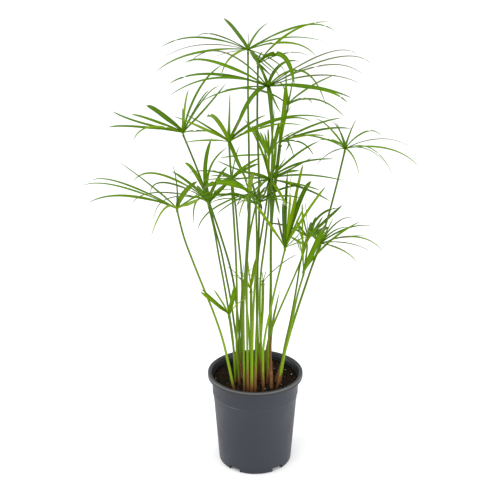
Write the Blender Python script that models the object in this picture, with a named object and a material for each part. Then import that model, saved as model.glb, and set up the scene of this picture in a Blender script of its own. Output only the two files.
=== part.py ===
"""A potted umbrella papyrus: a nursery pot, its potting mix, and 25 culms with their umbels of bracts.

Metres, +Z up. The origin is at the middle of the pot's underside, and the pot stands on z = 0.
The front of the plant, from where it is usually seen, is at -Y.
"""
import math
from collections import namedtuple

import bmesh
import bpy
import numpy as np

MM = 0.001

# Pot, measured as a trade one-gallon nursery pot
POT_HEIGHT = 168 * MM
LIP_RADIUS = 82.5 * MM
LIP_INNER_RADIUS = 76.4 * MM
LIP_DROP = 8.5 * MM
BAND_TOP_RADIUS = 75.0 * MM
BAND_LOW_RADIUS = 74.4 * MM
BAND_LOW_Z = 130 * MM
SHOULDER_RADIUS = 72.1 * MM
SHOULDER_Z = 116 * MM
BASE_RADIUS = 63.9 * MM
BASE_CORNER = 3.0 * MM
POT_WALL = 1.6 * MM
POT_SIDES = 36

# Drain notches in the pot's foot
NOTCH_COUNT = 5
NOTCH_FIRST = math.radians(-90 + 37.5)
NOTCH_WIDTH = 21 * MM
NOTCH_HEIGHT = 7.5 * MM
NOTCH_DEPTH = 9.0 * MM
DRAIN_LENGTH = 9.0 * MM
DRAIN_WIDTH = 5.0 * MM
CUT_SPARE = 6.0 * MM

# Potting mix
FIT_GAP = 0.35 * MM
FOOT_GAP = 1.2 * MM
MIX_LEVEL = 153.5 * MM
MIX_CROWN = 2.5 * MM
MIX_SIDES = 18

# Culms, umbels and sheaths
CULM_TOP_RADIUS = 1.35 * MM
CULM_FOOT_RADIUS = 2.2 * MM
CULM_SIDES = 5
CULM_PIECES = 7
HUB_RADIUS = 3.4 * MM
HUB_HEIGHT = 3.0 * MM
HUB_GAP = 0.4 * MM
BRACT_SLENDERNESS = 0.042
BRACT_THICKNESS = 1.1 * MM
UNSEEN_BOW = 0.1
BRACT_CLEARANCE = 4.0 * MM
CULM_CLEARANCE = 4.6 * MM
SHEATH_WALL = 0.75 * MM
SHEATH_GAP = 0.45 * MM
SHEATH_SIDES = 6

# The plant's places are given as pixels of a 500 by 500 picture of it, which this eye and lens look at
VIEW_EYE = np.array([-9.1, -1300.0, 838.0]) * MM
VIEW_PITCH = math.radians(19.1)
VIEW_FOCAL_PIXELS = 833.3
VIEW_CENTRE_PIXEL = 250.0

# A stalk is a culm with its umbel. hub, foot and route are pixels, from the hub down to the foot.
# depth is how far the hub lies behind the pot's axis, in millimetres. reach is a bract's usual length in
# millimetres, and count is the number of bracts. A bract is (tip x, tip y, length, bow) and may end in
# its width: the tip's pixel, the real length in millimetres, minus where it comes forward, a pixel that it
# passes halfway or else how high it bows over its chord as a share of its length, and millimetres.
Stalk = namedtuple("Stalk", "hub depth foot route reach count bracts")

STALKS = [
    Stalk((248, 49), 15, (244.5, 390.5),
          [(248, 100), (249, 160), (249, 200), (248, 235), (246, 258), (244.6, 275), (243.6, 300),
           (243.8, 345)],
          145, 16,
          [(223.5, 17.3, 140, (235, 29.5), 7), (268.5, 22, 130, (257, 32), 4.5), (249, 30, 150, .02, 3),
           (196, 38.5, -130, (213, 33.6), 4), (160, 47.5, 150, (197, 36.7), 4),
           (163, 58, -145, (200, 44.4), 4), (155.5, 71.5, 158, (193, 53), 4.5),
           (282, 30.5, 120, (265.5, 39)), (335, 31, 148, (302, 25)),
           (317, 57, -130, (290, 42.3), 5), (220.5, 79.5, -130, (229.5, 58.3), 5),
           (286, 73, -120, (273, 59.5), 3), (280, 78, -125, (271, 66), 3), (275, 72.5, -110, (263, 63), 3),
           (211, 57.5, -140, (228, 52), 3)]),
    Stalk((258, 63), -45, (255, 391),
          [(257, 100), (258, 140), (258.6, 165), (259.3, 195), (259, 220), (258, 245), (257.5, 265),
           (257.5, 300), (256, 345)],
          140, 6,
          [(330, 21, -140, (291, 31.5), 4), (309, 56, -112, (288, 52.2)),
           (294.5, 85.5, -118, (281.5, 54.5), 7), (263, 51.5, 100, .05, 3), (250.5, 50.5, 100, .02, 6.5),
           (272.5, 76.5, -100, (265, 69.5))]),
    Stalk((268, 86), -90, (271.5, 388),
          [(271, 115), (272.5, 140), (271.5, 170), (271, 200), (271, 250), (271, 310), (270.5, 350)],
          150, 18,
          [(187, 65, 150, (222, 51.3)), (184.5, 62.5, 146, (215, 61.5)), (168, 84, 160, (208, 73.4)),
           (167, 97, -162, (215, 77.5)), (200, 102, -130, (230, 89.5)), (235.5, 131, -138, .11, 7),
           (358, 54, 152, (325, 53), 4), (372, 64, 166, (335, 57), 4), (364, 75, -158, (325, 64.5), 4),
           (362, 84, -154, (320, 74.5), 4), (353, 98, -142, (312, 86.3), 7),
           (348, 103, -136, (320, 88.5), 6), (300, 61, 125, (281, 64), 6), (251, 51, 132, (260.5, 67)),
           (281, 112.5, -126, (274.5, 101)), (327, 108, -140, (303.5, 71), 5),
           (272, 157, -152, (271.5, 112), 11), (285, 94, -120, (280, 82))]),
    Stalk((288, 104), 90, (268.5, 376),
          [(284, 118), (281, 135), (279, 152), (276, 180), (273.4, 205), (271.4, 225), (270.8, 245),
           (270.8, 280), (270.2, 310), (269, 345)],
          125, 6,
          [(346, 118, -112, .17), (337, 73.5, 120, (310, 86.3)), (286, 71, 125, (286.3, 87)),
           (293, 76, 110, (291, 90), 4), (312.5, 103, -104, (303, 97.8))]),
    Stalk((229, 141), -85, (239.5, 384),
          [(230, 160), (232, 190), (233.6, 215), (235.4, 245), (236.6, 280), (237.2, 300), (236.5, 345)],
          135, 11,
          [(247, 104, 95, (239.5, 119.5), 5), (230, 91, 136, .0, 5.5),
           (207, 116.5, 126, (216, 118.3), 7), (184, 113, 130, (205, 124.7), 5),
           (173, 115.3, 138, (200, 126.4), 6), (183, 142.3, -122, (205, 139.8)),
           (266.5, 114.3, 126, (250, 123), 6), (331, 119, -158, (282, 117.3), 5),
           (314, 123, 140, (282, 118.5)), (304, 125.5, -130, (270, 125)),
           (248, 182, -135, (239, 164.5), 6.5)]),
    Stalk((183, 132), 35, (242.5, 378.5),
          [(190, 150), (197, 168), (204, 187), (212, 210), (219, 230), (226, 252), (234.5, 286),
           (238, 320)],
          130, 12,
          [(146.5, 104.7, 125, (160, 112.5), 8.5), (131, 113.7, 130, (150, 118.8), 6),
           (112, 110.3, 128, (138, 121.3)), (108, 127, -140, (135, 126)),
           (188.7, 89, 125, (185.3, 104), 6), (182.7, 106.5, 110, (183, 118), 5),
           (223.5, 63.5, 145, (199.5, 88), 4.5), (209, 89.5, -116, (198.3, 103.3), 4),
           (226.5, 82, 126, (206, 107.2), 5), (207, 131, -120, (197, 130.3)),
           (133, 141, -112, (150, 126.5)), (220, 86.5, 120, (206, 95.5), 3)]),
    Stalk((177, 208), -60, (234, 390),
          [(180, 222), (184, 237), (190, 253), (200, 279), (210, 303), (220, 330), (226, 352), (231, 375)],
          145, 11,
          [(117, 160, 140, (150, 184.2)), (90.5, 180.6, 146, (120, 181.8)),
           (81.5, 185.6, -158, (118, 185.5)), (87, 203, -146, (125, 195.2)), (150.5, 238, -136, .15, 5),
           (172, 162.5, 130, (176.6, 183), 3), (197.5, 180.5, 120, (184.5, 192), 8),
           (206, 187, 112, (192.5, 197.5), 4), (200, 198, -110, (190, 203), 5.5)]),
    Stalk((209, 200), 110, (240.5, 373.5),
          [(211, 210), (215, 228), (221, 250), (226, 275), (230.5, 298), (235, 330), (238.5, 355)],
          120, 12,
          [(211.8, 137, 126, (205.3, 167), 7.5), (184.5, 162.2, 120, (195, 172), 6.5),
           (171.3, 170.3, 116, (190, 183), 6), (133, 181.5, -135, (160, 173.8)),
           (150, 194, -116, (166, 182.2)), (131, 204.5, -140, (157, 192)), (154, 222, -120, (168, 198)),
           (193.5, 225, -110, (196.5, 201), 5), (227.5, 165.5, 110, (217, 180), 6),
           (224, 184, 100, (216, 191), 4.5), (228, 146.5, 120, (210, 168), 5),
           (197, 184.5, 95, (202, 191.5), 6)]),
    Stalk((250, 193), -140, (247.8, 391),
          [(249.6, 210), (248.8, 235), (247.6, 250), (246.8, 275), (246.8, 310), (247.3, 350)],
          115, 11,
          [(238.8, 219, -120, (243, 203), 4), (204, 188, 110, (224, 181.7), 8),
           (211, 168.8, 115, (232, 179)), (254.5, 171, 118, (250.5, 181), 7),
           (197.5, 231, -116, (213, 208.5), 3), (216, 214, -108, (232, 202.3), 3),
           (237, 206, -100, (241, 198), 3), (262, 181, -95, (256.5, 188), 4),
           (243, 172, 90, (246.5, 183), 4), (262, 204, -85, (256.5, 200), 3.5), (247, 213, -80, .1, 4)]),
    Stalk((270, 179), -22, (262.5, 384),
          [(269.3, 195), (268.3, 210), (266.8, 225), (264.8, 243), (262.5, 258), (260.7, 275),
           (259.8, 300), (261, 345)],
          125, 23,
          [(337, 158.5, 130, (300, 162.4), 5), (313, 156.5, 115, (290, 169)),
           (320, 140, -122, (294, 155.8)), (346, 180.6, 135, (304, 174.3), 4.5),
           (330, 201, -126, (304, 188)), (320.5, 190.2, -112, (301, 184.4)),
           (243.5, 117.5, 136, (258.5, 143), 9), (257, 129, 115, (264, 147), 8),
           (286, 156.5, 100, (280, 165.5), 4), (228, 180, -120, (250, 177.4), 5),
           (240, 170.5, 112, (255, 173)), (216, 159.5, -110, (240, 169.8)),
           (287.5, 208, -125, (280, 193), 6), (279.5, 214, -120, (275.5, 198), 6), (255, 195, -108, .05),
           (281, 146, 72, (277, 162), 7), (262, 138, 90, (266, 158), 6), (250, 186, -95, (259, 181), 5),
           (262, 200, -90, (266, 190), 5), (252, 172.5, 105, (261, 174), 6),
           (300, 170, -100, (286, 172), 5), (276, 138, 80, (274.3, 160), 7),
           (268, 146, -70, (268.5, 163), 6)]),
    Stalk((345, 148), 5, (276, 381),
          [(340, 168), (333, 200), (327, 220), (316, 254), (308.7, 275), (300.3, 300), (292.5, 324),
           (285.3, 350)],
          120, 13,
          [(314.5, 117.7, 118, (328.7, 126.5), 4.5), (332, 119.7, 116, (340.8, 132.5), 4.5),
           (336, 122, -96, (340, 130.5), 2.8), (356.5, 118, 115, (350.6, 131)),
           (382.5, 136.5, -112, (366, 131)), (413, 148.5, 126, (383, 138.2)),
           (420, 167.5, -138, (389, 148.4)), (387, 164.5, -114, (367.5, 148.7), 2),
           (395, 180, 116, (374, 149.5), 2.2), (359.3, 175, -120, (353.5, 157), 4),
           (314.5, 166.5, -115, (329.5, 152.7)), (318, 140, -100, (333, 139.8))]),
    Stalk((269, 155), 125, (259, 379),
          [(268.5, 185), (266.8, 203), (263.8, 219), (260.8, 234), (258.8, 250), (257.4, 268),
           (256.8, 300), (258, 345)],
          80, 9,
          [(251.5, 124.5, 84, (261.5, 141), 6.5), (268, 127, -72, .0, 3.5), (277, 135, 70, .03, 5),
           (260, 131, -66, .03, 3.5), (219, 157.5, 95, (245, 154.6), 3), (274, 106, 92, (272.7, 132), 9),
           (279, 121, -85, (275.5, 139), 6.5), (264.5, 132, 74, (267, 144), 3.5)]),
    Stalk((232, 178), 75, (244, 374),
          [(234.5, 195), (236.2, 212), (238.3, 238), (240.2, 258), (242, 275), (242.3, 300),
           (241.8, 345)],
          85, 10,
          [(209, 175.8, -84, (221, 175.3)), (203, 180, 80, (215, 178.4)), (260, 157, 88, (244, 166.7), 5),
           (259, 163, -80, (246, 168.5), 4.5), (240, 145, 70, (235.3, 158)),
           (214, 184, -80, (223, 180.5), 5), (218, 171, 78, (226, 174), 5), (246, 186, -75, (239, 182), 5),
           (250, 178, 80, (241, 177.5), 5)]),
    Stalk((256, 204), -60, (251.5, 391),
          [(256.4, 225), (257, 245), (256.3, 265), (254.5, 290), (252.5, 330)],
          85, 11,
          [(266, 186, 85, .04), (245, 190, 84, .04), (244, 200, -80, (250, 201), 3.5),
           (264, 193, 80, (260, 198), 4), (268, 199, -82, (262, 200.5), 4), (250, 191, 78, (253, 197), 4),
           (259, 187, 76, (258, 196), 5)]),
    Stalk((285, 247), -100, (263.5, 389),
          [(282.2, 260), (278.4, 275), (275.2, 288), (272.6, 300), (270, 312), (267.2, 324), (263.5, 348)],
          125, 14,
          [(256, 204.5, -110, (266, 218.5)), (277.5, 215.5, 110, (281, 232), 5),
           (287.5, 171.5, 132, (285.8, 208), 8), (303, 163.5, 146, (296.5, 192.5), 5),
           (291.7, 165.5, -140, (289.3, 200), 7), (311.5, 180.5, 126, (300, 200), 7),
           (326, 185.7, -132, (308, 209.8), 3.8), (301, 231, 92, (294, 239)),
           (302, 240.5, -100, (295, 243)), (283, 200, 115, (284, 224), 7),
           (296, 200, -112, (290.5, 224), 6), (304, 206, -108, (294.5, 227), 6),
           (291, 192, 112, (288.5, 219), 7), (298, 192, 118, (292.5, 219), 6)]),
    Stalk((308, 237), 80, (264.5, 374),
          [(303, 254), (299.6, 263), (288.8, 288), (278.4, 312), (272.6, 326), (267.6, 342), (265.5, 358)],
          100, 15,
          [(302.5, 202.5, 102, (303, 215)), (305, 200.5, -90, (306.5, 214)),
           (343, 204, 106, (326, 219.5), 5), (338, 207.3, -104, (319, 216), 4.5),
           (296.3, 219.5, 92, (300, 226.5), 5), (301, 251, -92, (298.5, 240.5)),
           (323, 215.5, 80, (316.5, 226), 5), (329, 226.5, 96, (319, 230.5), 6),
           (326, 231.5, -84, (317, 234), 6), (297, 231, -84, (302.5, 233.5), 6),
           (316, 216, 80, (312.5, 226), 6), (303, 219, -80, (305.5, 228), 6),
           (311, 221, 76, (310, 229), 6), (300, 226, 78, (304, 231), 6)]),
    Stalk((320.5, 243), -45, (279.5, 384.5),
          [(315.3, 257), (309, 275), (304.6, 288), (300.5, 300), (292.8, 324), (286, 347)],
          112, 9,
          [(372.5, 225.5, 116, (348, 227.5)), (352, 227, 104, (336, 229.3)),
           (368, 235.5, -112, (345, 236.3)), (383.3, 251.2, -122, (357, 236.4)),
           (376, 254.2, -116, (350, 243)), (358, 263.2, -115, (343, 250)), (333.5, 217, 100, (328, 228)),
           (354, 217.7, 108, (338, 221.2)), (307, 229, -84, (313.5, 235), 5)]),
    Stalk((303.5, 272), -85, (277, 388),
          [(302.2, 277), (299.2, 288), (296.2, 300), (291.4, 324), (287.5, 340), (283, 358)],
          70, 5,
          [(302.3, 203, -112, (302.6, 238), 6), (324.5, 224, -98, (313, 250.5), 8),
           (361.3, 220.3, 136, (328, 242.3), 3.4), (307.5, 242, -56, (306.3, 255), 5)]),
    Stalk((229, 314), -70, (236, 382),
          [(230.5, 325), (232.5, 340), (234.5, 355), (235.5, 367)],
          52, 6,
          [(200, 291, 62, .02, 6), (200.5, 288, -62, (214, 299.5), 3), (213, 288, -56, .02, 5),
           (235, 285, 52, (232.5, 299), 7)]),
    Stalk((251, 289), -10, (252, 381),
          [(251, 310), (251.3, 345)],
          48, 4,
          [(246.8, 252, 66, (248.5, 268), 2.6), (256, 257, -60, (253, 274), 5), (245, 282.5, 34, .05, 4)]),
    Stalk((263, 281), 30, (257.5, 377),
          [(262.8, 300), (261.5, 330), (259.5, 355)],
          42, 4,
          [(262, 270, 36, .0), (266.5, 269, -38, .0), (299, 252.8, 84, (281, 263.7))]),
    Stalk((242.5, 281), 50, (237, 373),
          [(241.5, 300), (239.5, 330), (238, 355)],
          42, 4,
          [(225, 265.5, 52, (234, 271)), (243.5, 262, -36, .0)]),
    Stalk((304, 245), 40, (280, 376),
          [(300.4, 262), (298.4, 275), (294.3, 300), (289.7, 324), (284.3, 348)],
          75, 5,
          [(297, 224, 74, .03, 5), (318, 226, 72, .03, 5), (311, 221, 76, .03, 5),
           (290, 236, -70, (297, 240), 4), (309, 229, 60, .03)]),
    Stalk((257, 198), 15, (251.5, 375),
          [(254.7, 208), (251, 227), (248.3, 243), (246, 260), (245.7, 290), (249, 330)],
          80, 9,
          [(262, 176, 78, .02), (268, 189, 74, .04), (245, 187, 78, (251, 191.5), 5),
           (252, 180, 76, (254, 189), 4), (270, 196, -76, (263, 195.5), 5), (262, 210, -74, (260, 203), 4)]),
    Stalk((280, 142), 40, (267, 382.5),
          [(278, 152), (275.5, 180), (272.8, 205), (271, 225), (270.6, 245), (270.4, 290), (269, 330)],
          105, 9,
          [(286.3, 80, 116, (284, 110.5), 7.2), (343, 117, 112, (311, 125.7), 5),
           (308.5, 126, -100, (296, 132.3), 4), (352, 128.3, 132, (321, 129.1)),
           (326, 136, -110, (305, 135)), (294.7, 159.5, -95, .17), (285, 151.5, -100, (288.5, 142)),
           (314, 156, -105, (301, 142)), (292, 105.5, 90, (285, 118), 4)]),
    Stalk((208.5, 203.5), 60, (235.5, 377),
          [(210.3, 210), (213, 222), (216.3, 242), (219.3, 258), (221.6, 270), (224.4, 285), (226.6, 298),
           (228.6, 310), (230.6, 322), (232.4, 334), (234.2, 355)],
          90, 6,
          [(221, 178, 86, (213, 188), 6), (240, 172, 104, (225, 184.5), 6), (196, 187, 84, (203, 193.5), 5),
           (189, 197, -84, (199, 197), 4), (204, 182, 78, (206, 192), 5)]),
]

# A bract as it stands in space: its tip, the vector of its bow, and its width, all in metres
Bract = namedtuple("Bract", "tip bow width")

# Stalks with a dry sheath round the foot, as (stalk number, height in millimetres)
SHEATHS = [(3, 52), (4, 34), (6, 40), (10, 46), (11, 38)]

# The young shoot: its tip, route and foot as pixels, and the depth of its tip in millimetres
SHOOT_TIP = (281, 285)
SHOOT_ROUTE = [(279, 294), (276, 306), (272.8, 322), (270.5, 345)]
SHOOT_FOOT = (270, 370)
SHOOT_DEPTH = 0
SHOOT_RADIUS = 1.9 * MM


def sight(pixel):
    """Returns the unit direction in which the eye sees a pixel."""
    right = (pixel[0] - VIEW_CENTRE_PIXEL) / VIEW_FOCAL_PIXELS
    up = (VIEW_CENTRE_PIXEL - pixel[1]) / VIEW_FOCAL_PIXELS
    direction = np.array([right,
                          math.cos(VIEW_PITCH) + up * math.sin(VIEW_PITCH),
                          up * math.cos(VIEW_PITCH) - math.sin(VIEW_PITCH)])
    return direction / np.linalg.norm(direction)


def at_depth(pixel, depth):
    """Returns the point seen at a pixel that lies depth metres behind the pot's axis."""
    direction = sight(pixel)
    return VIEW_EYE + direction * (depth - VIEW_EYE[1]) / direction[1]


def at_reach(pixel, hub, length):
    """Returns the point seen at a pixel that is length metres from the hub, before it if negative."""
    direction = sight(pixel)
    middle = direction @ (hub - VIEW_EYE)
    room = length * length - (np.linalg.norm(hub - VIEW_EYE) ** 2 - middle * middle)
    step = math.copysign(math.sqrt(max(room, 0.0)), length)
    return VIEW_EYE + direction * (middle + step)


def mix_height(x, y):
    """Returns the height of the potting mix's surface, a low crown."""
    return MIX_LEVEL + MIX_CROWN * (1 - (x * x + y * y) / SHOULDER_RADIUS ** 2)


def on_mix(pixel):
    """Returns the point of the potting mix's surface seen at a pixel."""
    direction = sight(pixel)
    point = VIEW_EYE + direction * (MIX_LEVEL + 0.5 * MIX_CROWN - VIEW_EYE[2]) / direction[2]
    point[2] = mix_height(point[0], point[1])
    return point


def smooth_line(points, count):
    """Returns count points on a Catmull-Rom curve through points, evenly spaced by the chords' length."""
    points = np.asarray(points)
    knots = np.concatenate([[0.0], np.cumsum(np.linalg.norm(np.diff(points, axis=0), axis=1))])
    slopes = np.gradient(points, knots, axis=0)
    places = np.linspace(0.0, knots[-1], count)
    span = np.clip(np.searchsorted(knots, places, side="right") - 1, 0, len(knots) - 2)
    width = (knots[span + 1] - knots[span])[:, None]
    t = (places - knots[span])[:, None] / width
    return ((2 * t ** 3 - 3 * t ** 2 + 1) * points[span] + (t ** 3 - 2 * t ** 2 + t) * width * slopes[span]
            + (3 * t ** 2 - 2 * t ** 3) * points[span + 1] + (t ** 3 - t ** 2) * width * slopes[span + 1])


def culm_line(stalk, lean, count):
    """Returns points up a culm. Its depth goes from foot to hub as the height's share to the power lean."""
    foot = on_mix(stalk.foot)
    foot[2] += FOOT_GAP
    hub_depth = stalk.depth * MM
    points = [foot]
    for pixel in reversed(stalk.route):
        share = (stalk.foot[1] - pixel[1]) / (stalk.foot[1] - stalk.hub[1])
        points.append(at_depth(pixel, foot[1] + (hub_depth - foot[1]) * share ** lean))
    top = at_depth(stalk.hub, hub_depth)
    top[2] -= HUB_HEIGHT + HUB_GAP
    points.append(top)
    return smooth_line(points, count)


def bow_of(hub, tip, bow):
    """Returns a bract's bow as a vector off its chord's middle, from a pixel or a share of its length."""
    middle = (hub + tip) / 2
    if isinstance(bow, tuple):
        direction = sight(bow)
        return VIEW_EYE + ((middle - VIEW_EYE) @ direction) * direction - middle
    chord = tip - hub
    upright = np.array([0.0, 0.0, 1.0]) - chord * chord[2] / (chord @ chord)
    return bow * np.linalg.norm(chord) * upright / np.linalg.norm(upright)


def bract_line(hub, tip, bow, count):
    """Returns points along a bract, a parabola that is halfway at its chord's middle plus the bow."""
    share = np.linspace(0.0, 1.0, count)[:, None]
    return hub + share * (tip - hub) + 4 * share * (1 - share) * bow


def line_gap(line, others):
    """Returns the smallest distance between a line of points and segments, an array n by 2 by 3."""
    if len(others) == 0:
        return 1.0
    p = line[:-1, None, :]
    u = line[1:, None, :] - p
    q = others[None, :, 0, :]
    v = others[None, :, 1, :] - q
    w = p - q
    uu, uv, vv = (u * u).sum(-1), (u * v).sum(-1), (v * v).sum(-1)
    uw, vw = (u * w).sum(-1), (v * w).sum(-1)
    s = np.clip((uv * vw - vv * uw) / np.maximum(uu * vv - uv * uv, 1e-18), 0, 1)
    t = np.clip((uv * s + vw) / vv, 0, 1)
    s = np.clip((uv * t - uw) / uu, 0, 1)
    return np.linalg.norm(w + s[..., None] * u - t[..., None] * v, axis=-1).min()


def segments(line):
    """Returns the segments of a line of points, as an array n by 2 by 3."""
    return np.stack([line[:-1], line[1:]], axis=1)


def place_culms():
    """Returns each stalk's culm lean: the first tried that clears the culms before it, or the clearest."""
    taken = np.zeros((0, 2, 3))
    leans = []
    for stalk in STALKS:
        gaps = {}
        for lean in (1.35, 1.1, 1.6, 0.9, 1.9, 0.75, 2.3, 2.8):
            gaps[lean] = line_gap(culm_line(stalk, lean, 25), taken)
            if gaps[lean] > CULM_CLEARANCE:
                break
        lean = max(gaps, key=gaps.get)
        leans.append(lean)
        taken = np.concatenate([taken, segments(culm_line(stalk, lean, 25))])
    return leans, taken


def turn_of(hub, tip):
    """Returns the direction in which a tip lies round its hub, seen from above, in radians."""
    return math.atan2(tip[1] - hub[1], tip[0] - hub[0])


def turn_gap(turn, turns):
    """Returns the smallest angle between a direction and a list of directions."""
    return min((abs((turn - other + math.pi) % math.tau - math.pi) for other in turns), default=math.pi)


def place_seen(stalk, hub, taken, bracts):
    """Adds the bracts that have a pixel. Each tries a few lengths, to clear what is already there."""
    for x, y, length, bow, *width in stalk.bracts:
        wide = width[0] if width else abs(length) * BRACT_SLENDERNESS
        choices = []
        for share in (1.0, 0.94, 1.06, 0.88, 1.12, 1.2, -1.0, -0.92, -1.1):
            tip = at_reach((x, y), hub, length * MM * share)
            bent = bow_of(hub, tip, bow)
            line = bract_line(hub, tip, bent, 9)
            side = turn_gap(turn_of(hub, tip), [turn_of(hub, other.tip) for other in bracts])
            clear = min(line_gap(line[1:], taken) / BRACT_CLEARANCE, side / math.radians(8))
            choices.append((min(clear, 1.0) - 0.001 * len(choices), Bract(tip, bent, wide * MM)))
        bracts.append(max(choices, key=lambda choice: choice[0])[1])


def place_unseen(stalk, hub, taken, bracts, seed):
    """Fills the widest gaps round the hub with bracts that rise as their neighbours do, up to the count."""
    random = np.random.default_rng(seed)
    while len(bracts) < stalk.count:
        turns = sorted(turn_of(hub, bract.tip) for bract in bracts)
        gaps = [(after - before) % math.tau for before, after in zip(turns, turns[1:] + turns[:1])]
        widest = int(np.argmax(gaps))
        rises = [(bract.tip[2] - hub[2]) / np.linalg.norm(bract.tip - hub) for bract in bracts]
        choices = []
        for attempt in range(10):
            turn = turns[widest] + gaps[widest] * (0.5 + random.uniform(-0.18, 0.18))
            rise = math.asin(np.clip(np.mean(rises) + random.uniform(-0.16, 0.16), -0.9, 0.985))
            length = stalk.reach * MM * random.uniform(0.78, 1.02)
            level = length * math.cos(rise)
            tip = hub + np.array([level * math.cos(turn), level * math.sin(turn), length * math.sin(rise)])
            bract = Bract(tip, bow_of(hub, tip, UNSEEN_BOW), length * BRACT_SLENDERNESS)
            gap = line_gap(bract_line(hub, tip, bract.bow, 9)[1:], taken)
            choices.append((min(gap, 1.4 * BRACT_CLEARANCE), attempt, bract))
        bracts.append(max(choices, key=lambda choice: (choice[0], -choice[1]))[2])


def place_umbels(taken):
    """Returns each stalk's hub and its bracts in order round the hub."""
    umbels = []
    for number, stalk in enumerate(STALKS):
        hub = at_depth(stalk.hub, stalk.depth * MM)
        bracts = []
        place_seen(stalk, hub, taken, bracts)
        place_unseen(stalk, hub, taken, bracts, number + 1)
        bracts.sort(key=lambda bract: turn_of(hub, bract.tip))
        umbels.append((hub, bracts))
        lines = [segments(bract_line(hub, bract.tip, bract.bow, 9)) for bract in bracts]
        taken = np.concatenate([taken] + lines)
    return umbels


def make_material(name, colour, roughness):
    """Makes a plain material of one colour."""
    material = bpy.data.materials.new(name)
    material.use_nodes = True
    shader = material.node_tree.nodes["Principled BSDF"]
    shader.inputs["Base Color"].default_value = (*colour, 1.0)
    shader.inputs["Roughness"].default_value = roughness
    material.diffuse_color = (*colour, 1.0)
    return material


def make_object(name, points, faces, material):
    """Makes a named object from points and faces."""
    mesh = bpy.data.meshes.new(name)
    mesh.from_pydata([tuple(point) for point in points], [], faces)
    mesh.materials.append(material)
    mesh.shade_smooth()
    mesh.set_sharp_from_angle(angle=math.radians(40))
    body = bpy.data.objects.new(name, mesh)
    bpy.context.scene.collection.objects.link(body)
    return body


def turned(profile, sides):
    """Returns points and faces of a profile of (radius, z) turned round Z, from the axis to the axis."""
    angles = [math.tau * side / sides for side in range(sides)]
    points = [(0.0, 0.0, profile[0][1])]
    for radius, z in profile[1:-1]:
        points += [(radius * math.cos(a), radius * math.sin(a), z) for a in angles]
    points.append((0.0, 0.0, profile[-1][1]))
    faces = []
    last = len(points) - 1
    for side in range(sides):
        after = (side + 1) % sides
        faces.append((0, 1 + after, 1 + side))
        for ring in range(len(profile) - 3):
            low = 1 + ring * sides
            high = low + sides
            faces.append((low + side, low + after, high + after, high + side))
        low = 1 + (len(profile) - 3) * sides
        faces.append((low + side, low + after, last))
    return points, faces


def wall_radius(z):
    """Returns the pot's outer radius at a height: a tapered wall, a sloping shoulder, the band over it."""
    return float(np.interp(z, [0.0, SHOULDER_Z, BAND_LOW_Z, POT_HEIGHT - LIP_DROP],
                           [BASE_RADIUS, SHOULDER_RADIUS, BAND_LOW_RADIUS, BAND_TOP_RADIUS]))


def pot_profile():
    """Returns the pot's outline, from the underside's middle round the lip to the floor's middle."""
    lip_z = POT_HEIGHT - LIP_DROP
    floor = POT_WALL
    corner_radius = BASE_RADIUS - BASE_CORNER
    corner_top = floor + BASE_CORNER
    outer = [(0.0, 0.0), (corner_radius, 0.0), (BASE_RADIUS - 0.8 * MM, 0.8 * MM),
             (wall_radius(BASE_CORNER), BASE_CORNER), (SHOULDER_RADIUS, SHOULDER_Z),
             (BAND_LOW_RADIUS - 0.5 * MM, BAND_LOW_Z - 0.6 * MM),
             (BAND_LOW_RADIUS, BAND_LOW_Z), (BAND_TOP_RADIUS, lip_z)]
    lip = [(LIP_RADIUS - 1.0 * MM, lip_z), (LIP_RADIUS, lip_z + 1.5 * MM),
           (LIP_RADIUS, POT_HEIGHT - 2.6 * MM), (LIP_RADIUS - 1.6 * MM, POT_HEIGHT - 0.5 * MM),
           (LIP_RADIUS - 3.2 * MM, POT_HEIGHT), (LIP_INNER_RADIUS, POT_HEIGHT - 2.2 * MM)]
    inner = [(BAND_TOP_RADIUS - POT_WALL, lip_z - 3 * MM), (BAND_LOW_RADIUS - POT_WALL, BAND_LOW_Z),
             (SHOULDER_RADIUS - POT_WALL, SHOULDER_Z), (wall_radius(corner_top) - POT_WALL, corner_top),
             (corner_radius - POT_WALL, floor), (0.0, floor)]
    return outer + lip + inner


def add_box(mesh, size, centre, turn):
    """Adds a box to a bmesh, its size along, across and up, with its centre turned round the Z axis."""
    made = bmesh.ops.create_cube(mesh, size=1.0)["verts"]
    cos, sin = math.cos(turn), math.sin(turn)
    for vert in made:
        along = centre[0] + vert.co.x * size[0]
        across = centre[1] + vert.co.y * size[1]
        vert.co = (along * cos - across * sin, along * sin + across * cos, centre[2] + vert.co.z * size[2])


def notch_cutter(name, size, centre):
    """Makes one hidden object of like boxes, one at each drain notch."""
    mesh = bmesh.new()
    for number in range(NOTCH_COUNT):
        add_box(mesh, size, centre, NOTCH_FIRST + math.tau * number / NOTCH_COUNT)
    data = bpy.data.meshes.new(name)
    mesh.to_mesh(data)
    mesh.free()
    cutter = bpy.data.objects.new(name, data)
    bpy.context.scene.collection.objects.link(cutter)
    cutter.hide_render = True
    cutter.display_type = "WIRE"
    return cutter


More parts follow.
